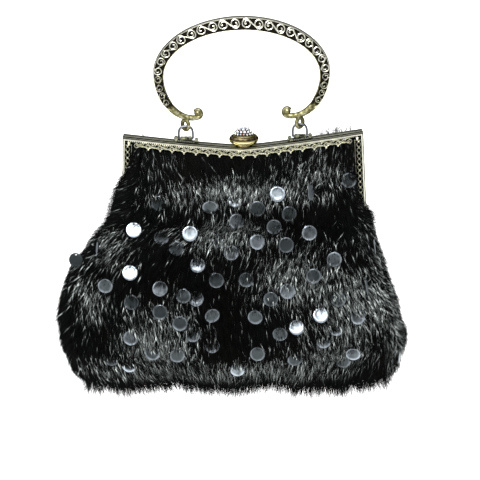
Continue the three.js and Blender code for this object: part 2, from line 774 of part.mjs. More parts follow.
// The pile: rings of pointed locks that hang over each other like shingles, on a backing
// that follows the cloth all round, with the frame's room cut out of it.
function furPile() {
  const { rows, around, start, long, short, hemLong, hemShort, root, tip, thin, ragged } = LOCKS;
  const step = (1 - start) / rows;
  const rings = [pouchRing(1.0, pileDepth(1) * LOCKS.hemDepth, 2 * around)];
  for (let row = rows - 1; row >= 0; row -= 1) {
    const from = start + row * step;
    const reach = row === rows - 1 ? [hemShort, hemLong] : [short, long];
    const tips = Array.from({ length: 2 * around }, (_, i) => {
      const isLong = (i + row) % 2 === 0;
      const stray = ragged * uneven(row, i);
      const drop = from + step * (reach[Number(isLong)] + stray);
      const grow = pileDepth(drop) * (isLong ? tip : thin) * (1 + stray / 2);
      return pouchPoint((i + stray / 4) / (2 * around), drop, grow);
    });
    rings.push(tips, pouchRing(from, pileDepth(from) * root, 2 * around));
  }
  rings.push(...POUCH_DROPS.slice(1).map((drop) => pouchRing(drop, GAP, around)));
  rings.push(rings.pop().map((point) => point.setZ(point.z - GAP)));
  const pins = [-1, 1].map((side) => toSolid(hingePinGeometry(side, GAP)));
  return cut(toSolid(skin(rings, 'zip')), frameBlock(GAP, LOCKS.clear, LOCKS.parted), ...pins);
}

// ---------------------------------------------------------------- paillettes

// A disc laid on the pile at a place on the front, flat on whatever stands highest beneath it.
function paillette(pile, x, z) {
  const { radius, thick, sides, lift, samples } = DISC;
  const ray = new THREE.Raycaster();
  const depthAt = (dx, dz) => {
    ray.set(new THREE.Vector3(x + dx, -200, z + dz), new THREE.Vector3(0, 1, 0));
    const hit = ray.intersectObject(pile)[0];
    return hit ? hit.point.y : 0;
  };
  const reach = 2.2 * radius;
  const slopeX = (depthAt(reach, 0) - depthAt(-reach, 0)) / (2 * reach);
  const slopeZ = (depthAt(0, reach) - depthAt(0, -reach)) / (2 * reach);
  const facing = new THREE.Vector3(slopeX, -1, slopeZ).normalize();
  let depth = Infinity;
  for (let i = -samples; i <= samples; i += 1) {
    for (let j = -samples; j <= samples; j += 1) {
      const dx = (i / samples) * radius;
      const dz = (j / samples) * radius;
      if (Math.hypot(dx, dz) > radius * 1.05) continue;
      depth = Math.min(depth, depthAt(dx, dz) - slopeX * dx - slopeZ * dz);
    }
  }
  const disc = new THREE.CylinderGeometry(radius, radius, thick, sides);
  disc.applyQuaternion(new THREE.Quaternion().setFromUnitVectors(new THREE.Vector3(0, 1, 0), facing));
  const seat = new THREE.Vector3(x, depth, z).addScaledVector(facing, lift + thick / 2);
  return toSolid(disc.translate(...seat.toArray()));
}

// ---------------------------------------------------------------- the bag

const MATERIALS = {
  brass: { color: 0x8f8763, roughness: 0.4, metalness: 1 },
  steel: { color: 0x8c8e90, roughness: 0.35, metalness: 1 },
  glass: { color: 0xdfe6ea, roughness: 0.08, metalness: 0.1 },
  cloth: { color: 0x101112, roughness: 0.9, metalness: 0 },
  fur: { color: 0x17191a, roughness: 0.75, metalness: 0 },
  sequin: { color: 0x9aa0aa, roughness: 0.2, metalness: 0.6 },
};

const bag = new THREE.Group();

function add(name, solid, finish) {
  const mesh = new THREE.Mesh(toGeometry(solid), new THREE.MeshStandardMaterial(MATERIALS[finish]));
  mesh.name = name;
  bag.add(mesh);
  return mesh;
}

add('handle', handle(), 'brass');
for (const [name, side] of [['left', -1], ['right', 1]]) {
  add(`stirrup_${name}`, stirrup(side), 'steel');
  add(`lug_${name}`, lug(side), 'brass');
  add(`hinge_pin_${name}`, toSolid(hingePinGeometry(side)), 'brass');
}
add('frame_front', frameHalf(-1), 'brass');
add('frame_back', frameHalf(1), 'brass');
add('clasp_collar', claspCollar(), 'brass');
add('clasp_button', claspButton(), 'brass');
add('clasp_stones', claspStones(), 'glass');
add('pouch_wall', pouchWall(), 'cloth');
const pile = add('fur_pile', furPile(), 'fur');
pile.geometry.computeBoundingSphere();
const places = COURSES.flatMap(({ z, across }) => across.map((x) => [x, z]));
places.forEach(([x, z], i) => {
  add(`paillette_${String(i + 1).padStart(2, '0')}`, paillette(pile, x, z), 'sequin');
});

export default bag;
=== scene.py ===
"""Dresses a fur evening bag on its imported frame: brass, steel wire, cut stones, fur and paillettes.

Sizes are in millimetres, in the bag's own frame: the origin is the top of the handle's opening,
+Z is up and the front faces -Y. Only mesh data and lamps are in metres.
"""

import math

import bmesh
import bpy
import numpy as np
from mathutils import Matrix, Vector
from mathutils.bvhtree import BVHTree


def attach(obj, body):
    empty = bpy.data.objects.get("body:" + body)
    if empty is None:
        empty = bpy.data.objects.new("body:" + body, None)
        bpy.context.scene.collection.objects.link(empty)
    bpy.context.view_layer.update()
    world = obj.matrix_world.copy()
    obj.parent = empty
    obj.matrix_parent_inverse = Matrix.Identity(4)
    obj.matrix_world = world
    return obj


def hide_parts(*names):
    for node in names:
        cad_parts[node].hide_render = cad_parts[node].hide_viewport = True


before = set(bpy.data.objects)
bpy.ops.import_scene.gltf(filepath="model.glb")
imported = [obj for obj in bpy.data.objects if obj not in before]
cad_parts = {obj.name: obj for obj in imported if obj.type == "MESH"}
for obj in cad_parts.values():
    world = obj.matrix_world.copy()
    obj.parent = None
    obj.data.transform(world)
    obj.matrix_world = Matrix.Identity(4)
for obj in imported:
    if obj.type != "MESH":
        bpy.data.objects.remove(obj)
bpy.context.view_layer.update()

MM = 0.001
SEED = 11

# ---------------------------------------------------------------- driving sizes, as the solids have them

HANDLE = {"reach": 53.6, "middle": -28.9, "crown": 4.5}
FOOT_PULL = {"side_z": -44, "foot_x": 43, "foot_z": -58.5}
CURL = {"x": 29, "z": -53.4, "start": 3.0, "turned": 2.3, "sweep": 240}
EYE = {"x": 37.1, "z": -61.1, "core": 3.1, "wire": 1.05, "turned": 43}
# Share of half the handle's length, width in its plane, thickness front to back.
BAR = [
    {"at": 0.0, "width": 9.0, "thick": 6.0},
    {"at": 0.3, "width": 8.5, "thick": 5.8},
    {"at": 0.53, "width": 7.4, "thick": 5.4},
    {"at": 0.72, "width": 5.8, "thick": 4.6},
    {"at": 0.84, "width": 4.1, "thick": 4.2},
    {"at": 0.905, "width": 3.6, "thick": 3.9},
    {"at": 0.95, "width": 2.5, "thick": 3.5},
    {"at": 1.0, "width": 2.1, "thick": 3.0},
]
SCROLL = {"pairs": 14, "end": 0.735, "share": 0.355, "aside": 0.25}
SCROLL |= {"turned": 500, "eye": 0.14, "line": 0.92, "rise": 0.55}
STIRRUP = {"wire": 0.7, "half": 4.6, "flat": 1.6, "shoulder": 4.2, "corner": 1.2}
STIRRUP |= {"pivot_z": -70.4, "end_in": 2.0}
STIRRUP_TOP = EYE["z"] - (EYE["core"] - EYE["wire"]) + 0.3 + STIRRUP["wire"]
SADDLE = {"half": 77.9, "middle_z": -76.4, "dip": 9.0, "bend": 1.2}
FRAME = {"depth": 6.0, "band": 6.6, "arm_z": -121.0, "arm_out": 80.4}
PIERCING = {"pitch": 7.7, "arch": 2.0, "diamond": 2.2, "diamond_z": -4.3, "per_arm": 4}
HINGE_PIN = {"radius": 1.5, "z": -117.0, "in": 4.0, "proud": 0.6}
LUG = {"barrel": 1.7, "foot": 16.0, "high": 1.1, "deep": 4.4, "curl": 1.3}
KNOB = {"x": 0.6, "foot": 5.4, "wide": 9.7, "wide_z": -71.4, "top_z": -69.0}
KNOB |= {"recess": 7.75, "recess_z": -71.7}
BUTTON = {"rim": 7.35, "rim_z": -68.2, "rim_thick": 1.4, "stem": 2.0, "stem_z": -74.2}
DISC = {"radius": 5.0, "thick": 0.35, "hole": 0.55, "hole_in": 1.3, "sides": 20}

# ---------------------------------------------------------------- node and mesh helpers


def linear(code):
    """An sRGB hex colour as linear RGBA."""
    parts = [int(code[i : i + 2], 16) / 255 for i in (1, 3, 5)]
    return [p / 12.92 if p <= 0.04045 else ((p + 0.055) / 1.055) ** 2.4 for p in parts] + [1.0]


def add_node(tree, kind, inputs=None, **settings):
    """Adds a node with its settings; an input is a value, or another node's output to link."""
    node = tree.nodes.new(kind)
    for name, value in settings.items():
        setattr(node, name, value)
    for name, value in (inputs or {}).items():
        if isinstance(value, bpy.types.NodeSocket):
            tree.links.new(value, node.inputs[name])
        else:
            node.inputs[name].default_value = value
    return node


def new_material(name, **sockets):
    """A material whose shader holds these constants: returns the material, its tree and the shader."""
    made = bpy.data.materials.new(name)
    made.use_nodes = True
    shader = made.node_tree.nodes["Principled BSDF"]
    for socket, value in sockets.items():
        shader.inputs[socket.replace("_", " ")].default_value = value
    return made, made.node_tree, shader


class Shape:
    """Points and faces gathered into one mesh, with one number a point for the finish there: patina and wear
    on the metal, painted light on the paillettes and painted shade on the clasp's collar.
    """

    def __init__(self):
        self.points, self.faces, self.finish, self.count = [], [], [], 0

    def add(self, points, faces, finish):
        points = np.asarray(points, float).reshape(-1, 3)
        self.faces.extend([tuple(int(i) + self.count for i in face) for face in faces])
        self.points.append(points)
        self.finish.append(np.broadcast_to(np.asarray(finish, float), (len(points),)))
        self.count += len(points)

    def mirrored(self, axis):
        """The same shape on the other side of the bag, its faces turned to stay outside."""
        twin = Shape()
        points = np.vstack(self.points)
        points[:, axis] *= -1
        twin.add(points, [face[::-1] for face in self.faces], np.concatenate(self.finish))
        return twin

    def piece(self, name, finish, body, slot, replaces=(), smooth=40):
        """The gathered mesh as a piece; edges sharper than this angle stay sharp, and all do at 0."""
        mesh = bpy.data.meshes.new(name)
        mesh.from_pydata((np.vstack(self.points) * MM).tolist(), [], self.faces)
        layer = mesh.attributes.new("finish", "FLOAT", "POINT")
        layer.data.foreach_set("value", np.concatenate(self.finish).astype(np.float32))
        mesh.materials.append(finish)
        solid = bmesh.new()
        solid.from_mesh(mesh)
        bmesh.ops.recalc_face_normals(solid, faces=solid.faces)
        solid.to_mesh(mesh)
        solid.free()
        if smooth:
            mesh.shade_smooth()
            mesh.set_sharp_from_angle(angle=math.radians(smooth))
        return place_piece(bpy.data.objects.new(name, mesh), body, replaces)


def place_piece(obj, body, replaces=()):
    """Puts a piece in the scene, on its body, in the place of these solids."""
    bpy.context.scene.collection.objects.link(obj)
    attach(obj, body)
    if replaces:
        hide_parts(*replaces)
    return obj


def unit(vectors):
    """Each vector made one long."""
    length = np.linalg.norm(vectors, axis=-1, keepdims=True)
    return vectors / np.maximum(length, 1e-9)


def grid_faces(rings, sides, closed=True, ends=False):
    """Faces between rings of points, one ring after another; also across both ends if asked."""
    faces = [
        (r * sides + s, r * sides + (s + 1) % sides, (r + 1) * sides + (s + 1) % sides, (r + 1) * sides + s)
        for r in range(rings - 1)
        for s in range(sides if closed else sides - 1)
    ]
    if ends:
        faces += [tuple(range(sides))[::-1], tuple(range((rings - 1) * sides, rings * sides))]
    return faces


def sweep(centres, across, upward, profile, ends=True):
    """Carries a profile of (across, up) offsets along a line of centres."""
    centres, across, upward, profile = (np.asarray(a, float) for a in (centres, across, upward, profile))
    across, upward = (np.broadcast_to(a, centres.shape)[:, None] for a in (across, upward))
    points = centres[:, None] + across * profile[..., :1] + upward * profile[..., 1:]
    return points.reshape(-1, 3), grid_faces(*points.shape[:2], ends=ends)


def beside(path, normal):
    """What a sweep along a path needs: its points, the way across it and the normal at each point."""
    path = np.asarray(path, float)
    normal = np.broadcast_to(np.asarray(normal, float), path.shape)
    return path, unit(np.cross(unit(np.gradient(path, axis=0)), normal)), normal


def circle(radius, sides):
    """A round profile for a sweep."""
    turn = 2 * np.pi * (np.arange(sides) + 0.5) / sides
    return np.c_[radius * np.cos(turn), radius * np.sin(turn)]


def wire(shape, path, radius, sides, normal, finish):
    """A round wire along a path that lies in the plane with this normal."""
    shape.add(*sweep(*beside(path, normal), circle(radius, sides)), finish)


def relief(shape, path, width, rise):
    """A half-round raised line on the front: rubbed bright along its top, dark where it meets the ground."""
    across = width * np.array([-0.5, -0.42, 0, 0.42, 0.5])
    up = [-0.15, 0.5 * rise, rise, 0.5 * rise, -0.15]
    points, faces = sweep(*beside(path, [0, -1, 0]), np.c_[across, up])
    shape.add(points, faces, np.tile([0, 0.8, 1, 0.8, 0], len(path)))


def turned(rows, sides):
    """Turns rows of (radius, height, finish) about the knob's upright middle line."""
    turn = 2 * np.pi * np.arange(sides) / sides
    radius, height, finish = np.array(rows, float).T[..., None]
    points = np.stack([KNOB["x"] + radius * np.cos(turn), radius * np.sin(turn), height + 0 * turn], axis=-1)
    shape = Shape()
    shape.add(points, grid_faces(len(rows), sides), (finish + 0 * turn).ravel())
    return shape


def column(table, key, at, name):
    """Reads a named column of a table at these values of its key column, which rises."""
    return np.interp(at, [row[key] for row in table], [row[name] for row in table])


# ---------------------------------------------------------------- finishes


def antique_metal(name, bright, middle, ground, shine, coarse, dirt=0.15):
    """Cast metal darkened all over and rubbed back: pale where a thumb reaches, black in the hollows."""
    made, tree, shader = new_material(name, Metallic=1.0)
    place = add_node(tree, "ShaderNodeTexCoord").outputs["Object"]
    finish = add_node(tree, "ShaderNodeAttribute", attribute_name="finish").outputs["Fac"]
    # Wear comes and goes over about 2 mm; pits of 0.3 mm are drawn at 0.5 mm, so that they show.
    wear = add_node(tree, "ShaderNodeTexNoise", {"Vector": place, "Scale": 1 / (2.0 * MM), "Detail": 3.0})
    pits = add_node(tree, "ShaderNodeTexNoise", {"Vector": place, "Scale": 1 / (0.5 * MM)}).outputs["Fac"]
    worn = add_node(tree, "ShaderNodeMath", {0: wear.outputs["Fac"], 1: 0.5}, operation="SUBTRACT").outputs[0]
    worn = add_node(tree, "ShaderNodeMath", {0: worn, 1: 0.9}, operation="MULTIPLY").outputs[0]
    worn = add_node(tree, "ShaderNodeMath", {0: finish, 1: worn}, operation="ADD").outputs[0]
    share = add_node(tree, "ShaderNodeMapRange", {"Value": worn, "From Min": dirt, "From Max": 0.75})
    share = share.outputs["Result"]
    ramp = add_node(tree, "ShaderNodeValToRGB", {"Fac": share})
    stops = ramp.color_ramp.elements
    stops[0].color, stops[1].color = linear(ground), linear(bright)
    stops.new(0.45).color = linear(middle)
    # Dirt in the hollows takes away the sheen that bare metal has at a slant.
    for socket in ("Base Color", "Specular Tint"):
        tree.links.new(ramp.outputs["Color"], shader.inputs[socket])
    rough = add_node(tree, "ShaderNodeMapRange", {"Value": share, "To Min": 0.75, "To Max": shine})
    tree.links.new(rough.outputs["Result"], shader.inputs["Roughness"])
    bump = add_node(tree, "ShaderNodeBump", {"Height": pits, "Strength": coarse, "Distance": 0.12 * MM})
    tree.links.new(bump.outputs["Normal"], shader.inputs["Normal"])
    return made


def steel_wire():
    """Drawn steel wire: grey, with fine lines along it and soft highlights."""
    made, tree, shader = new_material("drawn steel wire", Metallic=1.0, Roughness=0.38)
    place = add_node(tree, "ShaderNodeTexCoord").outputs["Object"]
    lines = add_node(tree, "ShaderNodeTexNoise", {"Vector": place, "Scale": 1 / (0.6 * MM), "Detail": 4.0})
    lines, dark, pale = lines.outputs["Fac"], linear("#3c3f42"), linear("#85898c")
    grey = add_node(tree, "ShaderNodeMix", {"Factor": lines, 6: dark, 7: pale}, data_type="RGBA")
    tree.links.new(grey.outputs[2], shader.inputs["Base Color"])
    bump = add_node(tree, "ShaderNodeBump", {"Height": lines, "Strength": 0.25, "Distance": 0.05 * MM})
    tree.links.new(bump.outputs["Normal"], shader.inputs["Normal"])
    return made


def paste_stone():
    """Cut lead glass over foil: clear, very glossy, each facet picking out its own light."""
    made, tree, shader = new_material("foiled paste stone", Metallic=0.75, Roughness=0.04, IOR=1.58)
    place = add_node(tree, "ShaderNodeTexCoord").outputs["Object"]
    cloud = add_node(tree, "ShaderNodeTexNoise", {"Vector": place, "Scale": 1 / (1.5 * MM)}).outputs["Fac"]
    grey, white = linear("#c9d0d6"), linear("#f4f6f6")
    foil = add_node(tree, "ShaderNodeMix", {"Factor": cloud, 6: grey, 7: white}, data_type="RGBA")
    tree.links.new(foil.outputs[2], shader.inputs["Base Color"])
    return made


def paillette_film():
    """Pressed film with a metallised face: smoke grey, a little cloudy, like a mirror under a lamp; how pale
    each point is follows the finish attribute, which carries painted light.
    """
    made, tree, shader = new_material("smoke grey pressed film", Metallic=0.7, Roughness=0.3)
    place = add_node(tree, "ShaderNodeTexCoord").outputs["Object"]
    finish = add_node(tree, "ShaderNodeAttribute", attribute_name="finish").outputs["Fac"]
    cloud = add_node(tree, "ShaderNodeTexNoise", {"Vector": place, "Scale": 1 / (4 * MM), "Detail": 3.0})
    cloud, smoke, pale = cloud.outputs["Fac"], linear("#32383a"), linear("#99a2aa")
    film = add_node(tree, "ShaderNodeMath", {0: finish, 1: cloud}, operation="MULTIPLY").outputs[0]
    share = add_node(tree, "ShaderNodeMapRange", {"Value": film, "From Min": 0.1, "From Max": 0.55})
    share = share.outputs["Result"]
    tint = add_node(tree, "ShaderNodeMix", {"Factor": share, 6: smoke, 7: pale}, data_type="RGBA")
    tree.links.new(tint.outputs[2], shader.inputs["Base Color"])
    bump = add_node(tree, "ShaderNodeBump", {"Height": cloud, "Strength": 0.2, "Distance": 0.2 * MM})
    tree.links.new(bump.outputs["Normal"], shader.inputs["Normal"])
    return made


def guard_hair(name, dark, silver, shine):
    """Dyed rabbit hair: black with green in its depth, turning to the given silver where the finish attribute
    is high; on the guard hairs that silver is painted sheen.
    """
    # Neighbouring hairs shade one another, so little of a hair's own gloss comes out.
    made, tree, shader = new_material(name, Roughness=shine, IOR=1.55, Specular_IOR_Level=0.03)
    finish = add_node(tree, "ShaderNodeAttribute", attribute_name="finish").outputs["Fac"]
    place = add_node(tree, "ShaderNodeTexCoord").outputs["Object"]
    # Dye takes unevenly over patches of about 25 mm, towards brown in places.
    patch = add_node(tree, "ShaderNodeTexNoise", {"Vector": place, "Scale": 1 / (25 * MM)}).outputs["Fac"]
    dark, brown, silver = linear(dark), linear("#080605"), linear(silver)
    dyed = add_node(tree, "ShaderNodeMix", {"Factor": patch, 6: dark, 7: brown}, data_type="RGBA").outputs[2]
    # Painted sheen: the silver is a short glint part of the way along, not the whole hair.
    glint = add_node(tree, "ShaderNodeMath", {0: finish, 1: 2.2}, operation="POWER").outputs[0]
    tint = add_node(tree, "ShaderNodeMix", {"Factor": glint, 6: dyed, 7: silver}, data_type="RGBA")
    tree.links.new(tint.outputs[2], shader.inputs["Base Color"])
    return made


def dyed_skin():
    """Dyed hide under the fur: matt black, faintly napped."""
    made, tree, shader = new_material("dyed rabbit skin", Roughness=0.85)
    place = add_node(tree, "ShaderNodeTexCoord").outputs["Object"]
    nap = add_node(tree, "ShaderNodeTexNoise", {"Vector": place, "Scale": 1 / (1.2 * MM), "Detail": 5.0})
    nap, black, grey = nap.outputs["Fac"], linear("#030404"), linear("#0d100f")
    tint = add_node(tree, "ShaderNodeMix", {"Factor": nap, 6: black, 7: grey}, data_type="RGBA")
    tree.links.new(tint.outputs[2], shader.inputs["Base Color"])
    bump = add_node(tree, "ShaderNodeBump", {"Height": nap, "Strength": 0.8, "Distance": 0.8 * MM})
    tree.links.new(bump.outputs["Normal"], shader.inputs["Normal"])
    return made


HANDLE_BRASS = antique_metal("antique brass of the handle", "#deddcf", "#76724c", "#1c1a14", 0.32, 0.35)
FRAME_BRASS = antique_metal(
    "rubbed silvery brass of the frame", "#f2f1e0", "#7d7f68", "#0a0c0a", 0.34, 0.35, dirt=0.25
)
KNOB_BRASS = antique_metal("polished yellow brass of the clasp", "#c9c08c", "#766b4c", "#2a2218", 0.22, 0.15)
COPPER = antique_metal("copper-red foil under the stones", "#a8643c", "#7a3c20", "#3c1e12", 0.3, 0.2)
STEEL = steel_wire()
STONE = paste_stone()
FILM = paillette_film()
GUARD_HAIR = guard_hair("black guard hair", "#020605", "#e8f2ef", 0.6)
UNDERFUR = guard_hair("black underfur", "#020303", "#0c0f0e", 0.8)
SKIN = dyed_skin()

# ---------------------------------------------------------------- handle


def handle_line():
    """The bar's centre line from tip to tip: places from -1 to 1, points there, and half its length."""
    reach, middle, crown = HANDLE["reach"], HANDLE["middle"], HANDLE["crown"]
    angle = np.linspace(np.pi / 2, 0, 160)
    arch = np.c_[reach * np.cos(angle), middle + (crown - middle) * np.sin(angle)]
    t = np.linspace(0, 1, 120)[:, None]
    pulls = [
        (reach, middle),
        (reach, FOOT_PULL["side_z"]),
        (FOOT_PULL["foot_x"], FOOT_PULL["foot_z"]),
        (CURL["x"], CURL["z"] - CURL["start"]),
    ]
    weights = [(1 - t) ** 3, 3 * (1 - t) ** 2 * t, 3 * (1 - t) * t**2, t**3]
    side = sum(w * np.array(p) for w, p in zip(weights, pulls))
    t = np.linspace(0, 1, 80)
    angle = np.radians(-90 - CURL["sweep"] * t)
    radius = CURL["start"] + (CURL["turned"] - CURL["start"]) * np.minimum(1, 2.5 * t)
    curl = np.c_[CURL["x"] + radius * np.cos(angle), CURL["z"] + radius * np.sin(angle)]
    half = np.vstack([arch, side[1:], curl[1:]])
    length = np.concatenate([[0], np.cumsum(np.linalg.norm(np.diff(half, axis=0), axis=1))])
    places = np.concatenate([-length[:0:-1], length]) / length[-1]
    line = np.vstack([half[:0:-1] * [-1, 1], half])
    return places, line, length[-1]


LINE_PLACES, LINE_POINTS, HALF_LENGTH = handle_line()


def bar_at(places):
    """Centres, outward directions, widths and thicknesses of the bar at these places."""
    places = np.clip(places, -1, 1)

    def on_line(at):
        return np.stack([np.interp(at, LINE_PLACES, LINE_POINTS[:, k]) for k in (0, 1)], axis=1)

    step = 0.003
    x, z = on_line(places).T
    along = unit(on_line(places + step) - on_line(places - step))
    share = np.abs(places)
    return (
        np.c_[x, 0 * x, z],
        np.c_[-along[:, 1], 0 * x, along[:, 0]],
        column(BAR, "at", share, "width"),
        column(BAR, "at", share, "thick"),
    )


def scroll_places():
    """Centre and spacing of each S pair, in step with the bar's own width."""
    samples = 800
    places = SCROLL["end"] * np.linspace(-1, 1, samples)
    width = bar_at(places)[2]
    sums = np.concatenate([[0], np.cumsum(1 / width)])
    wanted = sums[-1] * (np.arange(SCROLL["pairs"]) + 0.5) / SCROLL["pairs"]
    centres = SCROLL["end"] * (-1 + 2 * np.searchsorted(sums, wanted) / samples)
    pair = sums[-1] * 2 * SCROLL["end"] * HALF_LENGTH / samples / SCROLL["pairs"]
    return [(place, pair / 2 * bar_at(np.array([place]))[2][0]) for place in centres]


# Corner of the bar's section as shares of width and thickness, from the outer edge round by the front.
# 'rim' marks the plain raised edges beside the sunk ground.
BAR_SECTION = [
    {"across": 0.50, "deep": -0.10, "rim": 0.7},
    {"across": 0.485, "deep": -0.28, "rim": 0.9},
    {"across": 0.45, "deep": -0.43, "rim": 1.0},
    {"across": 0.41, "deep": -0.49, "rim": 1.0},
    {"across": 0.375, "deep": -0.49, "rim": 0.5},
    {"across": 0.36, "deep": -0.44, "rim": 0.0},
    {"across": 0.0, "deep": -0.46, "rim": 0.0},
    {"across": -0.36, "deep": -0.44, "rim": 0.0},
    {"across": -0.375, "deep": -0.49, "rim": 0.05},
    {"across": -0.41, "deep": -0.49, "rim": 0.2},
    {"across": -0.45, "deep": -0.43, "rim": 0.5},
    {"across": -0.485, "deep": -0.28, "rim": 0.6},
    {"across": -0.50, "deep": -0.10, "rim": 0.5},
    {"across": -0.50, "deep": 0.15, "rim": 0.5},
    {"across": -0.42, "deep": 0.38, "rim": 0.5},
    {"across": -0.25, "deep": 0.48, "rim": 0.6},
    {"across": 0.0, "deep": 0.5, "rim": 0.6},
    {"across": 0.25, "deep": 0.48, "rim": 0.6},
    {"across": 0.42, "deep": 0.38, "rim": 0.5},
    {"across": 0.50, "deep": 0.15, "rim": 0.5},
]


def build_handle():
    """The cast bar with sunk ground, raised S scrolls, curled feet and the rings under them."""
    shape = Shape()
    places = np.linspace(-1, 1, 420)
    centre, out, width, thick = bar_at(places)
    section = np.array([[row["across"], row["deep"]] for row in BAR_SECTION])
    rim = np.array([row["rim"] for row in BAR_SECTION])
    plain = np.clip((np.abs(places) - SCROLL["end"]) / 0.03, 0, 1)[:, None]
    turn = 2 * np.pi * np.arange(len(section)) / len(section)
    oval = 0.5 * np.c_[np.cos(turn), -np.sin(turn)]
    mixed = section[None] * (1 - plain[..., None]) + oval[None] * plain[..., None]
    profile = mixed * np.c_[width, thick][:, None, :]
    points, faces = sweep(centre, out, [0, 1, 0], profile)
    shape.add(points, faces, (rim[None] * (1 - plain) + 0.4 * plain).ravel())
    for place, spacing in scroll_places():
        scroll(shape, place, spacing)
    for side in (-1, 1):
        ring_under_foot(shape, side)
        # The curl closes on a small boss.
        bead(shape, [side * CURL["x"], 0, CURL["z"]], 2.4, 8, 16, 0.4)
    return shape.piece("handle_cast", HANDLE_BRASS, "handle", "brass", ["handle"])


def scroll(shape, place, spacing):
    """A raised S: two spirals joined by a stroke across the bar."""
    radius = SCROLL["share"] * bar_at(np.array([place]))[2][0]
    t = np.linspace(0, 1, 22)
    angle = np.radians(90 + SCROLL["turned"] * (1 - t))
    r = radius * (SCROLL["eye"] + (1 - SCROLL["eye"]) * t**0.5)
    spiral = np.c_[-spacing / 2 + r * np.cos(angle), r * np.sin(angle)]
    path = np.vstack([spiral, -spiral[::-1]])
    centre, out, width, thick = bar_at(place + path[:, 0] / HALF_LENGTH)
    points = centre + out * (path[:, 1:] + SCROLL["aside"]) - np.c_[0 * thick, 0.45 * thick, 0 * thick]
    line = SCROLL["line"] * width.mean() / BAR[0]["width"]
    relief(shape, points, line, SCROLL["rise"])


def ring_under_foot(shape, side):
    """The round eye that hangs under a foot, turned part of the way to the front."""
    turn = np.linspace(0, 2 * np.pi, 37)
    angle = math.radians(EYE["turned"])
    axis = np.array([math.cos(angle), -side * math.sin(angle), 0])
    flat = np.cross([0, 0, 1], axis)
    path = np.cos(turn)[:, None] * flat + np.sin(turn)[:, None] * np.array([0, 0, 1.0])
    centre = np.array([side * EYE["x"], 0, EYE["z"]])
    points, faces = sweep(centre + EYE["core"] * path, path, axis, circle(EYE["wire"] + 0.25, 12), ends=False)
    shape.add(points, faces, 0.42)


# ---------------------------------------------------------------- stirrups and lugs


def rounded(corners, radius, steps=5):
    """A path through corners, each corner cut by a short round bend."""
    corners = np.asarray(corners, float)
    path = [corners[0]]
    for before, corner, after in zip(corners, corners[1:], corners[2:]):
        into, away = unit(before - corner), unit(after - corner)
        reach = min(radius, 0.45 * np.linalg.norm(before - corner), 0.45 * np.linalg.norm(after - corner))
        t = np.linspace(0, 1, steps)[:, None]
        start, end = corner + into * reach, corner + away * reach
        path.extend((1 - t) ** 2 * start + 2 * t * (1 - t) * corner + t**2 * end)
    path.append(corners[-1])
    return np.array(path)


def build_stirrup(name, side):
    """Bent wire stirrup: through the handle's ring above, turned in to the lug's barrel below."""
    s = STIRRUP
    reach = s["half"] - s["flat"]
    right = [(0, STIRRUP_TOP), (s["flat"], STIRRUP_TOP)]
    for angle in np.radians([60, 30, 0]):
        drop = s["shoulder"] * (1 - math.sin(angle))
        right.append((s["flat"] + reach * math.cos(angle), STIRRUP_TOP - drop))
    right += [(s["half"], s["pivot_z"]), (s["half"] - s["end_in"] - s["wire"], s["pivot_z"])]
    corners = [(-x, z) for x, z in right[:0:-1]] + right
    path = rounded([(side * EYE["x"] + x, 0, z) for x, z in corners], s["corner"])
    shape = Shape()
    wire(shape, path, s["wire"] + 0.1, 10, [0, 1, 0], 1)
    return shape.piece(f"{name}_wire", STEEL, "stirrups", "steel", [name])


def saddle(x):
    """Height of the frame's top edge."""
    s = SADDLE
    return s["middle_z"] + s["dip"] * np.minimum(1, np.abs(x) / s["half"]) ** s["bend"]


def build_lug(name, side):
    """Barrel on a foot plate with a row of beads and a curl at each end."""
    shape = Shape()
    x0, deep, top = side * EYE["x"], LUG["deep"] / 2, 0.3 + LUG["high"]
    across, upright = [0, 1, 0], [0, 0, 1]
    half = STIRRUP["half"] - STIRRUP["wire"] - 0.3
    line = np.linspace(-half, half, 9)
    swell = 1 + 0.08 * np.cos(line / half * 3 * np.pi)
    centres = np.c_[x0 + line, 0 * line, 0 * line + STIRRUP["pivot_z"]]
    shape.add(*sweep(centres, across, upright, circle(LUG["barrel"], 14)[None] * swell[:, None, None]), 0.33)
    foot = x0 + np.linspace(-LUG["foot"] / 2, LUG["foot"] / 2, 17)
    section = [[-deep, -1.0], [-deep, -0.2], [-deep + 0.3, 0], [deep - 0.3, 0], [deep, -0.2], [deep, -1.0]]
    shape.add(*sweep(np.c_[foot, 0 * foot, saddle(foot) + top], across, upright, section), 0.12)
    # Two square posts carry the barrel.
    for x in (-half + 0.6, half - 1.8):
        box = [[x, -0.8], [x + 1.2, -0.8], [x + 1.2, 0.8], [x, 0.8]]
        ends = [[x0, 0, saddle(x0) + 0.6], [x0, 0, STIRRUP["pivot_z"]]]
        shape.add(*sweep(ends, [1, 0, 0], across, box), 0.3)
    strip = [[-0.35, -deep], [0.35, -deep], [0.35, deep], [-0.35, deep]]
    t = np.linspace(0, 1, 26)
    r = LUG["curl"] * (1 - 0.62 * t)
    for end in (-1, 1):
        x = x0 + end * (LUG["foot"] / 2 - LUG["curl"])
        z = saddle(x) + 0.6 + LUG["curl"]
        angle = np.radians(-90 - end * (40 - 560 * t))
        path = np.c_[x + end * r * np.cos(angle), 0 * t, z + r * np.sin(angle)]
        shape.add(*sweep(*beside(path, across), strip), 0.5)
    for face in (-1, 1):
        for x in x0 + np.arange(-6.2, 6.3, 1.25):
            bead(shape, [x, face * (deep - 0.1), saddle(x) + top - 0.45], 0.55, finish=0.7)
    return shape.piece(f"{name}_cast", FRAME_BRASS, "bag", "brass", [name])


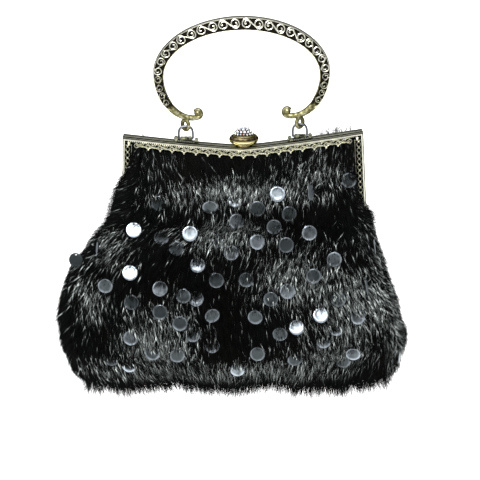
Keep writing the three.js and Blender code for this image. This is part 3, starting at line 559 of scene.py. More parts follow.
def bead(shape, centre, radius, rings=4, sides=7, finish=0.95):
    """A small round bead, half sunk in what carries it."""
    lean = np.linspace(0.12, np.pi - 0.12, rings)[:, None]
    turn = 2 * np.pi * np.arange(sides) / sides
    ball = [np.sin(lean) * np.cos(turn), np.sin(lean) * np.sin(turn), np.cos(lean) + 0 * turn]
    points = np.asarray(centre, float) + radius * np.stack(ball, axis=-1)
    shape.add(points, grid_faces(rings, sides, ends=True), finish)


# ---------------------------------------------------------------- clasp frame


def arm_edge(z):
    """How far out an arm's outer edge lies at a height."""
    return np.interp(z, [FRAME["arm_z"], saddle(SADDLE["half"])], [FRAME["arm_out"], SADDLE["half"]])


def frame_line(outward):
    """The frame's outer edge moved outwards: up the left arm, over the saddle, down the right arm."""
    x = SADDLE["half"] * np.linspace(-1, 1, 61)
    z = np.linspace(FRAME["arm_z"], saddle(SADDLE["half"]), 9)[:-1]
    left = np.c_[-arm_edge(z), z]
    path = np.vstack([left, np.c_[x, saddle(x)], left[::-1] * [-1, 1]])
    path = np.c_[path[:, 0], 0 * path[:, 0], path[:, 1]]
    step = unit(np.diff(path, axis=0))
    into, away = np.vstack([step[:1], step]), np.vstack([step, step[-1:]])
    along = unit(into + away)
    mitre = 1 / np.sum(along * away, axis=1)
    return path + np.c_[-along[:, 2], 0 * mitre, along[:, 0]] * (outward * mitre)[:, None]


# Raised lines along each half's top: where from the slit, width and rise. Dark grooves lie between them.
TOP_LINES = [
    {"name": "by the slit", "deep": 1.05, "out": 0.0, "width": 1.4, "rise": 0.22},
    {"name": "edge", "deep": 5.05, "out": -0.05, "width": 1.4, "rise": 0.22},
]


def strip_along(shape, corners, finish):
    """Carries a section of (depth, outward) corners along the frame's edge."""
    rings = np.stack([frame_line(out) - [0, deep, 0] for deep, out in corners], axis=1)
    count, sides = rings.shape[:2]
    shape.add(rings, grid_faces(count, sides, ends=True), np.tile(np.broadcast_to(finish, sides), count))


def pierced_plate(pitch, motifs, depth, thick):
    """The face band's ground: scalloped below and pierced with a diamond over each point."""
    band, arch, reach = FRAME["band"], PIERCING["arch"], motifs / 2 * pitch
    upper, lower = (frame_line(out)[:, [0, 2]] for out in (-0.8, -band))
    x = np.linspace(-reach, reach, motifs * 10 + 1)
    share = (x / pitch + motifs / 2) % 1
    edge = np.c_[x, saddle(x) - band + arch * np.sin(np.pi * share) ** 0.7]
    below = np.vstack([lower[lower[:, 0] < -reach], edge, lower[lower[:, 0] > reach]])
    size = PIERCING["diamond"] / 2
    middles = (np.arange(motifs + 1) - motifs / 2) * pitch
    holes = [(x, saddle(x) + PIERCING["diamond_z"], size) for x in middles]
    holes += [(*arm_middle(side, i), 2 * size) for side in (-1, 1) for i in range(PIERCING["per_arm"])]
    outlines = [np.vstack([upper, below[::-1]])]
    for x, z, tall in holes:
        outlines.append(np.array([[x - size, z], [x, z + tall], [x + size, z], [x, z - tall]]))
    curve = bpy.data.curves.new("band_outline", "CURVE")
    curve.dimensions, curve.fill_mode, curve.extrude = "2D", "BOTH", thick / 2
    for outline in outlines:
        spline = curve.splines.new("POLY")
        spline.points.add(len(outline) - 1)
        spline.points.foreach_set("co", np.c_[outline, np.tile([0, 1], (len(outline), 1))].ravel())
        spline.use_cyclic_u = True
    holder = bpy.data.objects.new("band_outline", curve)
    mesh = holder.to_mesh()
    points = np.array([v.co for v in mesh.vertices])
    faces = [tuple(p.vertices) for p in mesh.polygons]
    holder.to_mesh_clear()
    bpy.data.objects.remove(holder)
    bpy.data.curves.remove(curve)
    return np.c_[points[:, 0], depth + points[:, 2], points[:, 1]], faces


def arm_middle(side, i):
    """Place of a pierced diamond down an arm."""
    z = saddle(SADDLE["half"]) - FRAME["band"] - PIERCING["diamond"] - i * PIERCING["pitch"]
    return side * (arm_edge(z) - FRAME["band"] / 2), z


def build_frame(name, face):
    """One half: a beaded top, a pierced face band with raised lattice, leaves and braided arms."""
    shape = Shape()
    depth, band, half = FRAME["depth"], FRAME["band"], SADDLE["half"]
    pitch = PIERCING["pitch"]
    motifs = 2 * int((half - band) // pitch)
    ground = [
        (0.2, 0.0),
        (depth - 0.4, 0.0),
        (depth - 0.05, -0.45),
        (depth - 0.05, -1.3),
        (depth - 0.45, -1.9),
        (depth - 1.4, -1.3),
        (0.2, -1.3),
    ]
    strip_along(shape, ground, -0.4)
    for line in TOP_LINES:
        w, d, out, rise = line["width"] / 2, line["deep"], line["out"], line["rise"]
        corners = [(d - w, out - 0.1), (d - 0.7 * w, out + 0.6 * rise), (d, out + rise)]
        corners += [(d + 0.7 * w, out + 0.6 * rise), (d + w, out - 0.1)]
        strip_along(shape, corners, [-0.3, 0.85, 1.0, 0.85, -0.3])
    # Raised edge round the outer corner of the face.
    lip = [(-0.05, -0.5), (0.3, -0.7), (0.35, -1.15), (0.1, -1.5), (-0.3, -1.3)]
    strip_along(shape, [(depth + proud, out) for proud, out in lip], [0.5, 1.0, 1.0, 0.6, 0.1])
    front = -(depth - 0.25)
    plate, faces = pierced_plate(pitch, motifs, front + 0.5, 1.0)
    shape.add(plate, faces, -0.1)
    face_ornament(shape, front, pitch, motifs)
    if face > 0:
        shape = shape.mirrored(1)
    return shape.piece(f"{name}_cast", FRAME_BRASS, "bag", "brass", [name])


def face_ornament(shape, front, pitch, motifs):
    """Woven ovals, ringed diamonds, leaves and a rope edge along the band; braid down the arms."""
    band, reach, corner = FRAME["band"], motifs / 2 * pitch, saddle(SADDLE["half"])

    def on_band(x, down):
        x, down = np.broadcast_arrays(x, down)
        return np.stack([x, np.full(x.shape, front), saddle(x) - down], axis=-1)

    x = np.linspace(-reach, reach, motifs * 16 + 1)
    phase = 2 * np.pi * x / pitch
    for sign in (-1, 1):
        relief(shape, on_band(x, 3.5 + sign * 1.25 * np.cos(phase / 2 + np.pi / 4)), 0.45, 0.5)
        relief(shape, on_band(x, 4.0 + sign * 0.9 * np.cos(phase + np.pi * (sign > 0))), 0.4, 0.55)
    scallop = PIERCING["arch"] * np.sin(np.pi * ((x / pitch + motifs / 2) % 1)) ** 0.7
    relief(shape, on_band(x, band - 0.35 - scallop), 0.55, 0.5)
    turn = np.linspace(0, 2 * np.pi, 9)
    for i in range(motifs + 1):
        centre = (i - motifs / 2) * pitch
        ring = on_band(centre + 1.25 * np.cos(turn), -PIERCING["diamond_z"] - 1.25 * np.sin(turn))
        relief(shape, ring, 0.55, 0.55)
        bead(shape, on_band(centre, band - 0.3), 0.62)
        for lean in (-1, 1) if i < motifs else ():
            leaf(shape, on_band(centre + pitch / 2 + lean * 0.9, 3.0), 2.3, 0.95, lean * 0.7)
    for x in np.arange(-reach - 5, reach + 5.1, 1.3):
        bead(shape, on_band(x, 1.9), 0.36, 3, 6, 0.75)
    for side in (-1, 1):
        z = np.linspace(corner - 4.5, FRAME["arm_z"] + 1.5, 90)
        for sign in (-1, 1):
            for aside in (1.25 * np.cos(2 * np.pi * (corner - z) / pitch), 2.5):
                line = np.c_[side * (arm_edge(z) - band / 2 + sign * aside), 0 * z + front, z]
                relief(shape, line, 0.5, 0.5)
        for z in np.arange(corner - 6, FRAME["arm_z"] + 2, -pitch / 2):
            leaf(shape, [side * (arm_edge(z) - band / 2), front, z], 1.8, 0.9, 0)
        for lean in (-1.1, -0.35, 0.4):
            leaf(shape, [side * (SADDLE["half"] - 3.9), front, corner - 4.1], 3.4, 1.3, side * (lean + 0.35))


def leaf(shape, centre, length, width, lean):
    """A small pointed leaf lying on the face, with a ridge down its middle."""
    t = np.linspace(-1, 1, 7)
    wide = width / 2 * (1 - t**2) ** 0.7
    lines = ((-1, -0.1), (0, 0.55), (1, -0.1))
    rows = [np.c_[share * wide, 0 * t - rise, t * length / 2] for share, rise in lines]
    turn = np.array([[math.cos(lean), 0, math.sin(lean)], [0, 1, 0], [-math.sin(lean), 0, math.cos(lean)]])
    points = np.asarray(centre, float) + np.stack(rows, axis=1).reshape(-1, 3) @ turn.T
    shape.add(points, grid_faces(len(t), 3, closed=False), np.tile([0.2, 1.0, 0.2], len(t)))


def build_hinge_pin(name, side):
    """Rivet with a domed head on each face."""
    x, wide = side * (FRAME["arm_out"] - HINGE_PIN["in"]), HINGE_PIN["radius"]
    ends = FRAME["depth"] + HINGE_PIN["proud"]
    profile = [(-ends, 0.02), (-ends, 0.6 * wide), (-ends + 0.3, 0.9 * wide), (-ends + 0.7, wide)]
    profile += [(-ends + 0.7, 0.8 * wide)]
    profile += [(-y, r) for y, r in profile[::-1]]
    rings = np.stack([circle(r, 16) for _, r in profile])
    shape = Shape()
    shape.add(*sweep([[x, y, HINGE_PIN["z"]] for y, _ in profile], [1, 0, 0], [0, 0, -1], rings), 0.8)
    return shape.piece(f"{name}_rivet", FRAME_BRASS, "bag", "brass", [name])


# ---------------------------------------------------------------- clasp knob


def build_knob():
    """The turned collar, the button in it, the foil's dome and the stones. Rows: radius, height, finish."""
    k, b = KNOB, BUTTON
    foot_z, wide, wide_z, top_z = SADDLE["middle_z"] + 0.35, k["wide"], k["wide_z"], k["top_z"]
    # Finish up the collar: lowest where the foot meets the frame, brightest at the widest ring; the dark line
    # just above that ring and the darker top ring are painted shade.
    collar = [
        (2.4, foot_z, 0.1),
        (k["foot"] - 0.2, foot_z, 0.1),
        (k["foot"], foot_z + 0.3, 0.3),
        (k["foot"] + 0.1, wide_z - 3.2, 0.5),
        (wide - 2.4, wide_z - 2.7, 0.8),
        (wide - 0.9, wide_z - 1.9, 0.9),
        (wide - 0.2, wide_z - 0.9, 1.0),
        (wide, wide_z, 0.9),
        (wide - 0.2, wide_z + 0.9, 0.15),
        (wide - 0.75, top_z - 0.6, 0.3),
        (k["recess"] + 0.6, top_z, 0.4),
        (k["recess"] + 0.1, top_z - 0.1, 0.4),
        (k["recess"], top_z - 0.4, 0.1),
        (k["recess"], k["recess_z"], 0.0),
        (2.4, k["recess_z"], 0.0),
    ]
    turned(collar, 56).piece("clasp_collar_turned", KNOB_BRASS, "bag", "brass", ["clasp_collar"], smooth=55)

    rim, rim_z, under = b["rim"], b["rim_z"], b["rim_z"] - b["rim_thick"]
    button = [
        (0.01, b["stem_z"], 0.1),
        (b["stem"], b["stem_z"], 0.1),
        (b["stem"], under, 0.1),
        (rim - 0.3, under, 0.5),
        (rim, under + 0.3, 1.0),
        (rim, rim_z - 0.35, 1.0),
        (rim - 0.35, rim_z, 1.0),
        (rim - 0.9, rim_z - 0.05, 0.4),
        (0.01, rim_z - 0.05, 0.2),
    ]
    turned(button, 48).piece("clasp_button_turned", KNOB_BRASS, "clasp", "brass", ["clasp_button"], smooth=35)

    base = rim_z + 0.3
    dome = [(0.01, base, 0.15)]
    for lean in np.radians(np.linspace(0, 90, 9)):
        dome.append((max(5.6 * math.cos(lean), 0.01), base + 3.1 * math.sin(lean), 0.15))
    turned(dome, 32).piece("clasp_setting", COPPER, "clasp", "brass")

    stones = Shape()
    for row in STONE_ROWS:
        for turn in 2 * np.pi * (np.arange(row["count"]) + row["shift"]) / row["count"]:
            set_stone(stones, row, turn, base)
    stones.piece("clasp_stones_cut", STONE, "clasp", "glass", ["clasp_stones"], smooth=0)


# Pointed stones set like petals: count, lean from upright, distance out and up, length, width.
STONE_ROWS = [
    {"count": 1, "shift": 0, "lean": 0, "out": 0.0, "up": 3.5, "long": 3.2, "wide": 3.3},
    {"count": 7, "shift": 0.2, "lean": 38, "out": 2.7, "up": 2.9, "long": 4.1, "wide": 2.6},
    {"count": 13, "shift": 0, "lean": 64, "out": 4.8, "up": 1.9, "long": 3.8, "wide": 2.3},
    {"count": 18, "shift": 0.5, "lean": 88, "out": 6.0, "up": 0.8, "long": 1.9, "wide": 1.5},
]


def set_stone(shape, row, turn, base):
    """A marquise-cut stone: a six-sided girdle, a table and a pointed underside."""
    out, up = np.array([math.cos(turn), math.sin(turn), 0]), np.array([0, 0, 1.0])
    lean = math.radians(row["lean"])
    # The outer rows point up more steeply than they lean.
    tip = lean - 0.5 if row["lean"] > 50 else lean
    long_way = out * math.sin(tip) + up * math.cos(tip) if lean else np.array([1.0, 0, 0])
    face = unit(np.cross(np.cross(long_way, out + 0.6 * up), long_way)) if lean else up
    side = np.cross(long_way, face)
    centre = np.array([KNOB["x"], 0, base]) + out * row["out"] + up * row["up"]
    half, wide = row["long"] / 2, row["wide"] / 2
    girdle = [(-1, 0), (-0.45, 0.85), (0.35, 0.85), (1, 0), (0.35, -0.85), (-0.45, -0.85)]
    points = [centre + long_way * half * a + side * wide * b for a, b in girdle]
    points += [centre + long_way * half * 0.45 * a + side * wide * 0.42 * b + face * 0.62 for a, b in girdle]
    points += [centre - face * 0.9]
    faces = [(6, 7, 8, 9, 10, 11)]
    for i in range(6):
        j = (i + 1) % 6
        faces += [(i, j, 6 + j, 6 + i), (j, i, 12)]
    shape.add(points, faces, 1)


# ---------------------------------------------------------------- pouch and fur

# Outer form of the pouch's sections, from the hem up: height, left and right reach, half depth.
SECTIONS = [
    {"z": -238, "left": -107, "right": 91, "depth": 6},
    {"z": -218, "left": -118, "right": 99.5, "depth": 21},
    {"z": -198, "left": -119, "right": 96.5, "depth": 24},
    {"z": -175, "left": -118, "right": 89.5, "depth": 23},
    {"z": -155, "left": -107.5, "right": 84, "depth": 21},
    {"z": -140, "left": -95.5, "right": 80.5, "depth": 18.5},
    {"z": -124, "left": -74.4, "right": 74.4, "depth": 13.2},
    {"z": -92, "left": -74.8, "right": 74.8, "depth": 8.5},
    {"z": -70, "left": -75.1, "right": 75.1, "depth": 4.6},
]
COAT = {"columns": 168, "rows": 96, "bottom": -237.0, "under_frame": 2.0, "least": 1.5, "most": 17.0}
# Guard hairs: width and length, where root, middle and tip stand in the coat (1 is its outer form), how wide
# a lock is and how far hairs draw together in it, how much they wander, and the share that stray from it.
HAIR = {"wide": 0.3, "long": 8.6, "root": 0.45, "middle": 0.92, "tip": 1.13, "clump": 3.0, "gather": 0.45}
HAIR |= {"wander": 0.24, "stray": 0.1}
HAIR_COUNT = {"front": 162000, "back": 80000, "over_arms": 15000}
# Each lock takes one row of this many rows of random numbers, picked by mixing its place with two primes.
LOCKS, PRIMES = 20011, (7919, 104729)


def solid_tree(name):
    """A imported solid's surface, in millimetres, for casting rays at."""
    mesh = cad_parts[name].data
    points = np.zeros(len(mesh.vertices) * 3)
    mesh.vertices.foreach_get("co", points)
    points = points.reshape(-1, 3) / MM
    return BVHTree.FromPolygons(points.tolist(), [tuple(p.vertices) for p in mesh.polygons])


def smoothed(grid, times):
    """Evens a grid out; it closes on itself along its second axis."""
    for _ in range(times):
        grid = (np.roll(grid, 1, 1) + 2 * grid + np.roll(grid, -1, 1)) / 4
        ends = np.concatenate([grid[:1], grid, grid[-1:]])
        grid = (ends[:-2] + 2 * grid + ends[2:]) / 4
    return grid


def coat_grid():
    """Points on the pouch, their outward directions, and how far the fur's outer form stands off them."""
    skin, cover = solid_tree("pouch_wall"), solid_tree("fur_pile")
    columns, rows = COAT["columns"], COAT["rows"]
    turn = 2 * np.pi * np.arange(columns) / columns
    points = np.zeros((rows, columns, 3))
    for c, angle in enumerate(turn):
        top = saddle(74 * math.cos(angle)) - COAT["under_frame"]
        for r in range(rows):
            z = top + (COAT["bottom"] - top) * r / (rows - 1)
            left, right = (column(SECTIONS, "z", z, key) for key in ("left", "right"))
            a, b = (right - left) / 2, column(SECTIONS, "z", z, "depth")
            out = np.array([math.cos(angle) / a, math.sin(angle) / b, 0])
            out /= np.linalg.norm(out)
            near = np.array([(left + right) / 2 + a * math.cos(angle), b * math.sin(angle), z])
            hit = skin.ray_cast(near + 40 * out, -out)[0]
            points[r, c] = near if hit is None else hit
    points[..., :2] = smoothed(points[..., :2], 1)
    around = np.roll(points, -1, 1) - np.roll(points, 1, 1)
    down = np.gradient(points, axis=0)
    normals = unit(np.cross(down, around))
    offsets = np.zeros((rows, columns))
    for r in range(rows):
        for c in range(columns):
            start = points[r, c] + 30 * normals[r, c]
            hit = cover.ray_cast(start, -normals[r, c])
            offsets[r, c] = np.nan if hit[0] is None else 30 - hit[3]
    for line in offsets:
        found = line[~np.isnan(line)]
        line[np.isnan(line)] = np.median(found) if len(found) else COAT["least"]
    cover = smoothed(np.clip(offsets, COAT["least"], COAT["most"]), 3)
    # The coat is pressed flat where it comes out from under the frame.
    from_top = points[:1, :, 2] - points[..., 2]
    return points, normals, cover * np.clip(from_top / 12, 0.15, 1)


SKIN_POINTS, SKIN_NORMALS, COVER = coat_grid()
ROW_STEP = np.linalg.norm(np.gradient(SKIN_POINTS, axis=0), axis=2)
COLUMN_STEP = np.linalg.norm(np.roll(SKIN_POINTS, -1, 1) - np.roll(SKIN_POINTS, 1, 1), axis=2) / 2


def look_up(grid, row, col):
    """Bilinear reading of a grid that closes on itself along its columns."""
    rows, columns = grid.shape[:2]
    row = np.clip(row, 0, rows - 1.001)
    r, c = np.floor(row).astype(int), np.floor(col).astype(int)
    fr, fc = row - r, col - c
    if grid.ndim == 3:
        fr, fc = fr[:, None], fc[:, None]
    c0, c1 = c % columns, (c + 1) % columns
    above, under = ((1 - fc) * grid[k, c0] + fc * grid[k, c1] for k in (r, r + 1))
    return (1 - fr) * above + fr * under


def coat_point(row, col, share):
    """A point in the coat: share 0 on the skin, 1 on the fur's outer form; past the hem it hangs on down."""
    below = np.maximum(0, row - (COAT["rows"] - 1))
    point = look_up(SKIN_POINTS, row, col)
    step = look_up(ROW_STEP, row, col)
    lift = look_up(COVER, row, col) * share
    point = point + look_up(SKIN_NORMALS, row, col) * lift[:, None]
    return point - np.c_[0 * below, 0 * below, below * step]


# Painted sheen where light runs over the coat's front: centre, half width and height, share of pale hairs and
# how pale.
SHEEN = [
    {"x": -3, "z": -104, "wide": 43, "high": 6, "share": 0.5, "pale": 1.0},
    {"x": 45, "z": -95, "wide": 20, "high": 9, "share": 0.22, "pale": 1.0},
    {"x": -60, "z": -88, "wide": 15, "high": 14, "share": 0.09, "pale": 0.8},
    {"x": 66, "z": -88, "wide": 12, "high": 14, "share": 0.08, "pale": 0.8},
    {"x": -14, "z": -130, "wide": 24, "high": 8, "share": 0.45, "pale": 1.0},
    {"x": -90, "z": -140, "wide": 12, "high": 10, "share": 0.26, "pale": 1.0},
    {"x": -104, "z": -172, "wide": 12, "high": 14, "share": 0.26, "pale": 1.0},
    {"x": -58, "z": -200, "wide": 17, "high": 18, "share": 0.5, "pale": 1.0},
    {"x": -70, "z": -225, "wide": 35, "high": 7, "share": 0.34, "pale": 1.0},
    {"x": -17, "z": -230, "wide": 25, "high": 6, "share": 0.34, "pale": 1.0},
    {"x": 20, "z": -226, "wide": 35, "high": 6, "share": 0.4, "pale": 1.0},
    {"x": 35, "z": -160, "wide": 26, "high": 15, "share": 0.36, "pale": 1.0},
    {"x": 75, "z": -182, "wide": 25, "high": 18, "share": 0.45, "pale": 1.0},
    {"x": 58, "z": -214, "wide": 22, "high": 12, "share": 0.34, "pale": 1.0},
    {"x": 82, "z": -135, "wide": 7, "high": 10, "share": 0.3, "pale": 0.72},
    {"x": 89, "z": -148, "wide": 5, "high": 20, "share": 0.4, "pale": 0.72},
    {"x": 101, "z": -188, "wide": 7, "high": 34, "share": 0.6, "pale": 0.72},
]


def fuller(x, z):
    """The pile stands fuller low on the right: its thickness there against the solid's."""
    return 1 + 0.36 * np.exp(-(((x - 97) / 16) ** 2) - ((z + 218) / 26) ** 2)


def strands(name, count, side, rng, low, high):
    """Guard hairs over one side of the pouch (-1 front, 1 back), between two shares of its height."""
    rows, columns = COAT["rows"], COAT["columns"]
    facing = side * SKIN_NORMALS[..., 1] > 0
    bare = (np.abs(SKIN_POINTS[..., 0]) > 70) & (SKIN_POINTS[..., 2] > -116)
    area = np.where(facing & ~bare, ROW_STEP * COLUMN_STEP, 0)
    area[: int(low * rows)] = 0
    area[int(high * rows) :] = 0
    picked = rng.choice(area.size, count, p=(area / area.sum()).ravel())
    row = picked // columns + rng.random(count) - 0.5
    col = picked % columns + rng.random(count) - 0.5
    root = look_up(SKIN_POINTS, row, col)
    row_step, column_step = look_up(ROW_STEP, row, col), np.maximum(look_up(COLUMN_STEP, row, col), 0.4)
    # The nap hangs steeply and fans out at the sides, with slow swirls.
    x, z = root[:, 0], root[:, 2]
    swirl = 0.1 * np.sin(x / 17 + z / 29) + 0.08 * np.sin(z / 11 - x / 23 + 1.3)
    edge = np.clip(np.abs(look_up(SKIN_NORMALS[..., 0], row, col)) * 1.6 - 0.4, 0, 1)
    fan = (0.45 * edge - 0.2) * (x + 10) / 100 + swirl
    # Hairs gather into small pointed locks.
    size = HAIR["clump"]
    lane = np.floor(row * row_step / size).astype(int)
    cell = np.floor(col * column_step / size + 0.5 * (lane % 2)).astype(int)
    key = (lane * PRIMES[0] + cell * PRIMES[1]) % LOCKS
    jitter = rng.random((LOCKS, 4))[key]
    lock_row = (lane + 0.5 + 0.7 * (jitter[:, 0] - 0.5)) * size / row_step
    lock_col = (cell + 0.5 - 0.5 * (lane % 2) + 0.7 * (jitter[:, 1] - 0.5)) * size / column_step
    long = HAIR["long"] * (0.7 + 0.6 * rng.random(count)) * (0.85 + 0.3 * jitter[:, 2])
    wander = rng.normal(0, HAIR["wander"], count)
    stray = rng.random(count) < HAIR["stray"]
    # Along the outline and the hem the hairs part into a fine fringe.
    hem = np.clip((-226 - z) / 8, 0, 1)
    gather = HAIR["gather"] * (0.5 + jitter[:, 3]) * (1 - 0.7 * hem) * (1 - 0.4 * edge)
    long = long * (1 + 0.12 * hem)
    points = []
    for t, share in ((0, HAIR["root"]), (0.5, HAIR["middle"]), (1, HAIR["tip"])):
        pull = gather * t * np.where(stray, 0.1, 1)
        r = row + t * long / row_step + pull * (lock_row - row)
        c = col + t * long * (wander - side * fan) / column_step + pull * (lock_col - col)
        ragged = rng.normal(0, 0.1, count) * (1 + 0.6 * edge)
        uneven = 0.2 * (jitter[:, 2] - 0.5) + ragged + 0.2 * stray - 0.1 * edge
        points.append(coat_point(r, c, share * fuller(x, z) * (1 + t * uneven)))
    return name, points, tones_and_sheen(points[1], side, jitter[:, 1], rng)


# How far hairs fall outwards past the frame's arms: height, reach on the left and on the right.
SPILL = [
    {"z": -123, "left": 17, "right": 11},
    {"z": -113, "left": 14.5, "right": 5},
    {"z": -103, "left": 11.5, "right": 2.5},
    {"z": -95, "left": 8, "right": 1.5},
    {"z": -86, "left": 4, "right": 1},
    {"z": -76, "left": 1.5, "right": 0.5},
]
# Hairs of the back that stand up behind the frame: centre, half width, height and count.
WISPS = [
    {"x": 61, "wide": 11, "high": 7, "count": 90},
    {"x": 52, "wide": 14, "high": 3, "count": 50},
    {"x": -64, "wide": 3, "high": 6, "count": 8},
]


def spill(count, rng):
    """Hairs that lie over the frame's arms, or come round them from behind."""
    z = rng.uniform(-123, -74, count)
    side = np.where(rng.random(count) < 0.5, -1, 1)
    face = np.where(rng.random(count) < 0.5, -1, 1)
    out = arm_edge(z)
    reach = np.where(side < 0, column(SPILL, "z", z, "left"), column(SPILL, "z", z, "right"))
    root = np.c_[side * (out - 7 - rng.uniform(0, 5, count)), face * (FRAME["depth"] + 0.4), z]
    far = side * (7 * np.minimum(1, reach / 8) + reach * rng.uniform(0.2, 1.1, count))
    drop = rng.uniform(3, 9, count)
    lift = face * rng.uniform(0.6, 3, count)
    middle = root + np.c_[0.5 * far, lift, -0.4 * drop]
    tip = root + np.c_[far, 0.7 * lift * rng.uniform(-0.5, 1.2, count), -drop]
    wisps = []
    for row in WISPS:
        few = row["count"]
        x = row["x"] + rng.uniform(-1, 1, few) * row["wide"]
        base = np.c_[x, rng.uniform(6.3, 7.5, few), saddle(x) - 4]
        rise = row["high"] * rng.uniform(0.3, 1.0, few)[:, None]
        lean = np.c_[rng.normal(0, 0.35, few), rng.uniform(0, 0.3, few), np.ones(few)]
        wisps.append([base, base + lean * (4 + 0.5 * rise) * [0.6, 1, 1], base + lean * (4 + rise)])
    root, middle, tip = (np.vstack([a] + [w[k] for w in wisps]) for k, a in enumerate((root, middle, tip)))
    count = len(root)
    tone_and_sheen = np.where(rng.random(count) < 0.05, rng.uniform(0.1, 0.5, count), 0.03 * rng.random(count))
    tone_and_sheen[-sum(row["count"] for row in WISPS) :] = 0.19
    return "guard_hair_over_arms", [root, middle, tip], tone_and_sheen


def tones_and_sheen(middle, side, lock, rng):
    """How pale each hair is: nearly all black, with a share of silver ones painted where the light runs
    (painted sheen).
    """
    x, z = middle[:, 0], middle[:, 2]
    # Fewer silver hairs close under the frame: painted shade.
    share = 0.006 * np.clip((-88 - z) / 15, 0.1, 1)
    pale = np.ones(len(x))
    for band in SHEEN:
        reach = ((side * -x - band["x"]) / band["wide"]) ** 2 + ((z - band["z"]) / band["high"]) ** 2
        here = 0.58 * band["share"] * np.exp(-0.7 * reach)
        pale = np.where(here > share, band["pale"], pale)
        share = np.maximum(share, here)
    # Fewer silver hairs at the hem: painted shade where the fringe turns under, out of the light.
    share *= np.clip((z + 241) / 9, 0.12, 1) * (0.35 + 1.3 * lock)
    dull = 0.13 * rng.random(len(x)) ** 3
    return np.where(rng.random(len(x)) < share, pale * (0.72 + 0.38 * rng.random(len(x))), dull)


def ribbon_piece(name, points, tone_and_sheen, rng, finish):
    """Joins hairs of three points into one mesh: a pair at the root and middle, one at the tip."""
    root, middle, tip = points
    count = len(root)
    along = unit(tip - root)
    # Each ribbon is turned about its hair at random, so that none shows its flat side everywhere.
    rolled = rng.normal(0, 0.45, (count, 3)) + unit(np.cross(along, [0, 0, 1.0]))
    out = unit(np.cross(along, np.cross(rolled, along)))
    across = unit(np.cross(along, out))
    lean = rng.uniform(-0.9, 0.9, count)[:, None]
    across = across * np.cos(lean) + out * np.sin(lean)
    half = across * HAIR["wide"] / 2 * (0.7 + 0.6 * rng.random(count) + 1.1 * (tone_and_sheen > 0.2))[:, None]
    corners = np.stack([root - half, root + half, middle - 0.8 * half, middle + 0.8 * half, tip], axis=1) * MM
    base = 5 * np.arange(count)[:, None]
    loops = np.concatenate([base + [0, 1, 3, 2], base + [2, 3, 4]], axis=1).ravel()
    mesh = bpy.data.meshes.new(name)
    mesh.vertices.add(5 * count)
    mesh.vertices.foreach_set("co", corners.astype(np.float32).ravel())
    mesh.loops.add(7 * count)
    mesh.loops.foreach_set("vertex_index", loops.astype(np.int32))
    mesh.polygons.add(2 * count)
    starts = (7 * np.arange(count)[:, None] + [0, 4]).ravel()
    mesh.polygons.foreach_set("loop_start", starts.astype(np.int32))
    mesh.update(calc_edges=True)
    # Painted sheen along each hair, kept in the finish attribute: dark at the root, brightest at the middle,
    # dim at the tip.
    layer = mesh.attributes.new("finish", "FLOAT", "POINT")
    shade = np.stack([tone_and_sheen * 0.02, tone_and_sheen * 0.02, tone_and_sheen, tone_and_sheen, tone_and_sheen * 0.1], axis=1)
    layer.data.foreach_set("value", shade.astype(np.float32).ravel())
    mesh.materials.append(finish)
    mesh.shade_smooth()
    return place_piece(bpy.data.objects.new(name, mesh), "bag")


def build_coat(discs):
    """The skin, the dense underfur that hides it, and the guard hairs over both."""
    rows, columns = COAT["rows"], COAT["columns"]
    rng = np.random.default_rng(SEED)
    rough = smoothed(rng.normal(0, 1, (rows, columns)), 1)
    fall = np.clip(np.arange(rows) / 6, 0.25, 1)[:, None]
    share = (0.5 + 0.12 * rough / rough.std()) * fall
    r, c = np.mgrid[0:rows, 0:columns].astype(float)
    points = coat_point(r.ravel(), c.ravel(), share.ravel())
    under = Shape()
    under.add(points, grid_faces(rows, columns), 0.1 + 0.3 * rng.random(len(points)))
    rim = points[-columns:]
    under.add(np.vstack([rim, rim * [1, 0.1, 1] - [0, 0, 2]]), grid_faces(2, columns), 0.1)
    under.piece("underfur", UNDERFUR, "bag", "fur", ["fur_pile"], smooth=80)

    # The skin under the fur needs half the grid only, and hangs inside the underfur.
    outer, lining = SKIN_POINTS[::2, ::2], (SKIN_POINTS - 1.2 * SKIN_NORMALS)[::2, ::2]
    faces, around = grid_faces(*outer.shape[:2]), outer.shape[1]
    seam = np.vstack([outer[-1], [[outer[-1, :, 0].mean(), 0, COAT["bottom"] - 1]]])
    skin = Shape()
    skin.add(outer, faces, 0.5)
    skin.add(lining, [f[::-1] for f in faces], 0.5)
    skin.add(seam, [(k, (k + 1) % around, around) for k in range(around)], 0.5)
    skin.piece("pouch_skin", SKIN, "bag", "cloth", ["pouch_wall"], smooth=80)

    # Each side's hairs go in bands from the frame down, so that no piece grows too big.
    sets = []
    for word, side, limits in (("front", -1, (0, 0.4, 0.72, 1)), ("back", 1, (0, 0.55, 1))):
        count = HAIR_COUNT[word] // (len(limits) - 1)
        for i, (low, high) in enumerate(zip(limits, limits[1:]), 1):
            sets.append(strands(f"guard_hair_{word}_{i}", count, side, rng, low, high))
    sets.append(spill(HAIR_COUNT["over_arms"], rng))
    for name, points, tone_and_sheen in sets:
        ribbon_piece(name, part_over_discs(points, discs, rng), tone_and_sheen, rng, GUARD_HAIR)


def part_over_discs(points, discs, rng):
    """Tucks hairs under the paillettes, all but some that fall over each one's top."""
    root, middle, tip = points
    chance = rng.random(len(root))
    for centre, normal, up, _, veil in discs:
        for line in (middle, tip):
            gap = line - centre
            near = (gap**2).sum(1) < (DISC["radius"] + 3) ** 2
            if not near.any():
                continue
            height = gap @ normal
            across = np.linalg.norm(gap - height[:, None] * normal, axis=1)
            over_top = (chance < veil) & (gap @ up > (0.3 - 0.6 * veil) * DISC["radius"])
            covers = near & (across < DISC["radius"] + 0.8) & (height > -0.6) & ~over_top
            line[covers] -= normal * (height[covers] + 0.8)[:, None]
    return [root, middle, tip]


# ---------------------------------------------------------------- paillettes

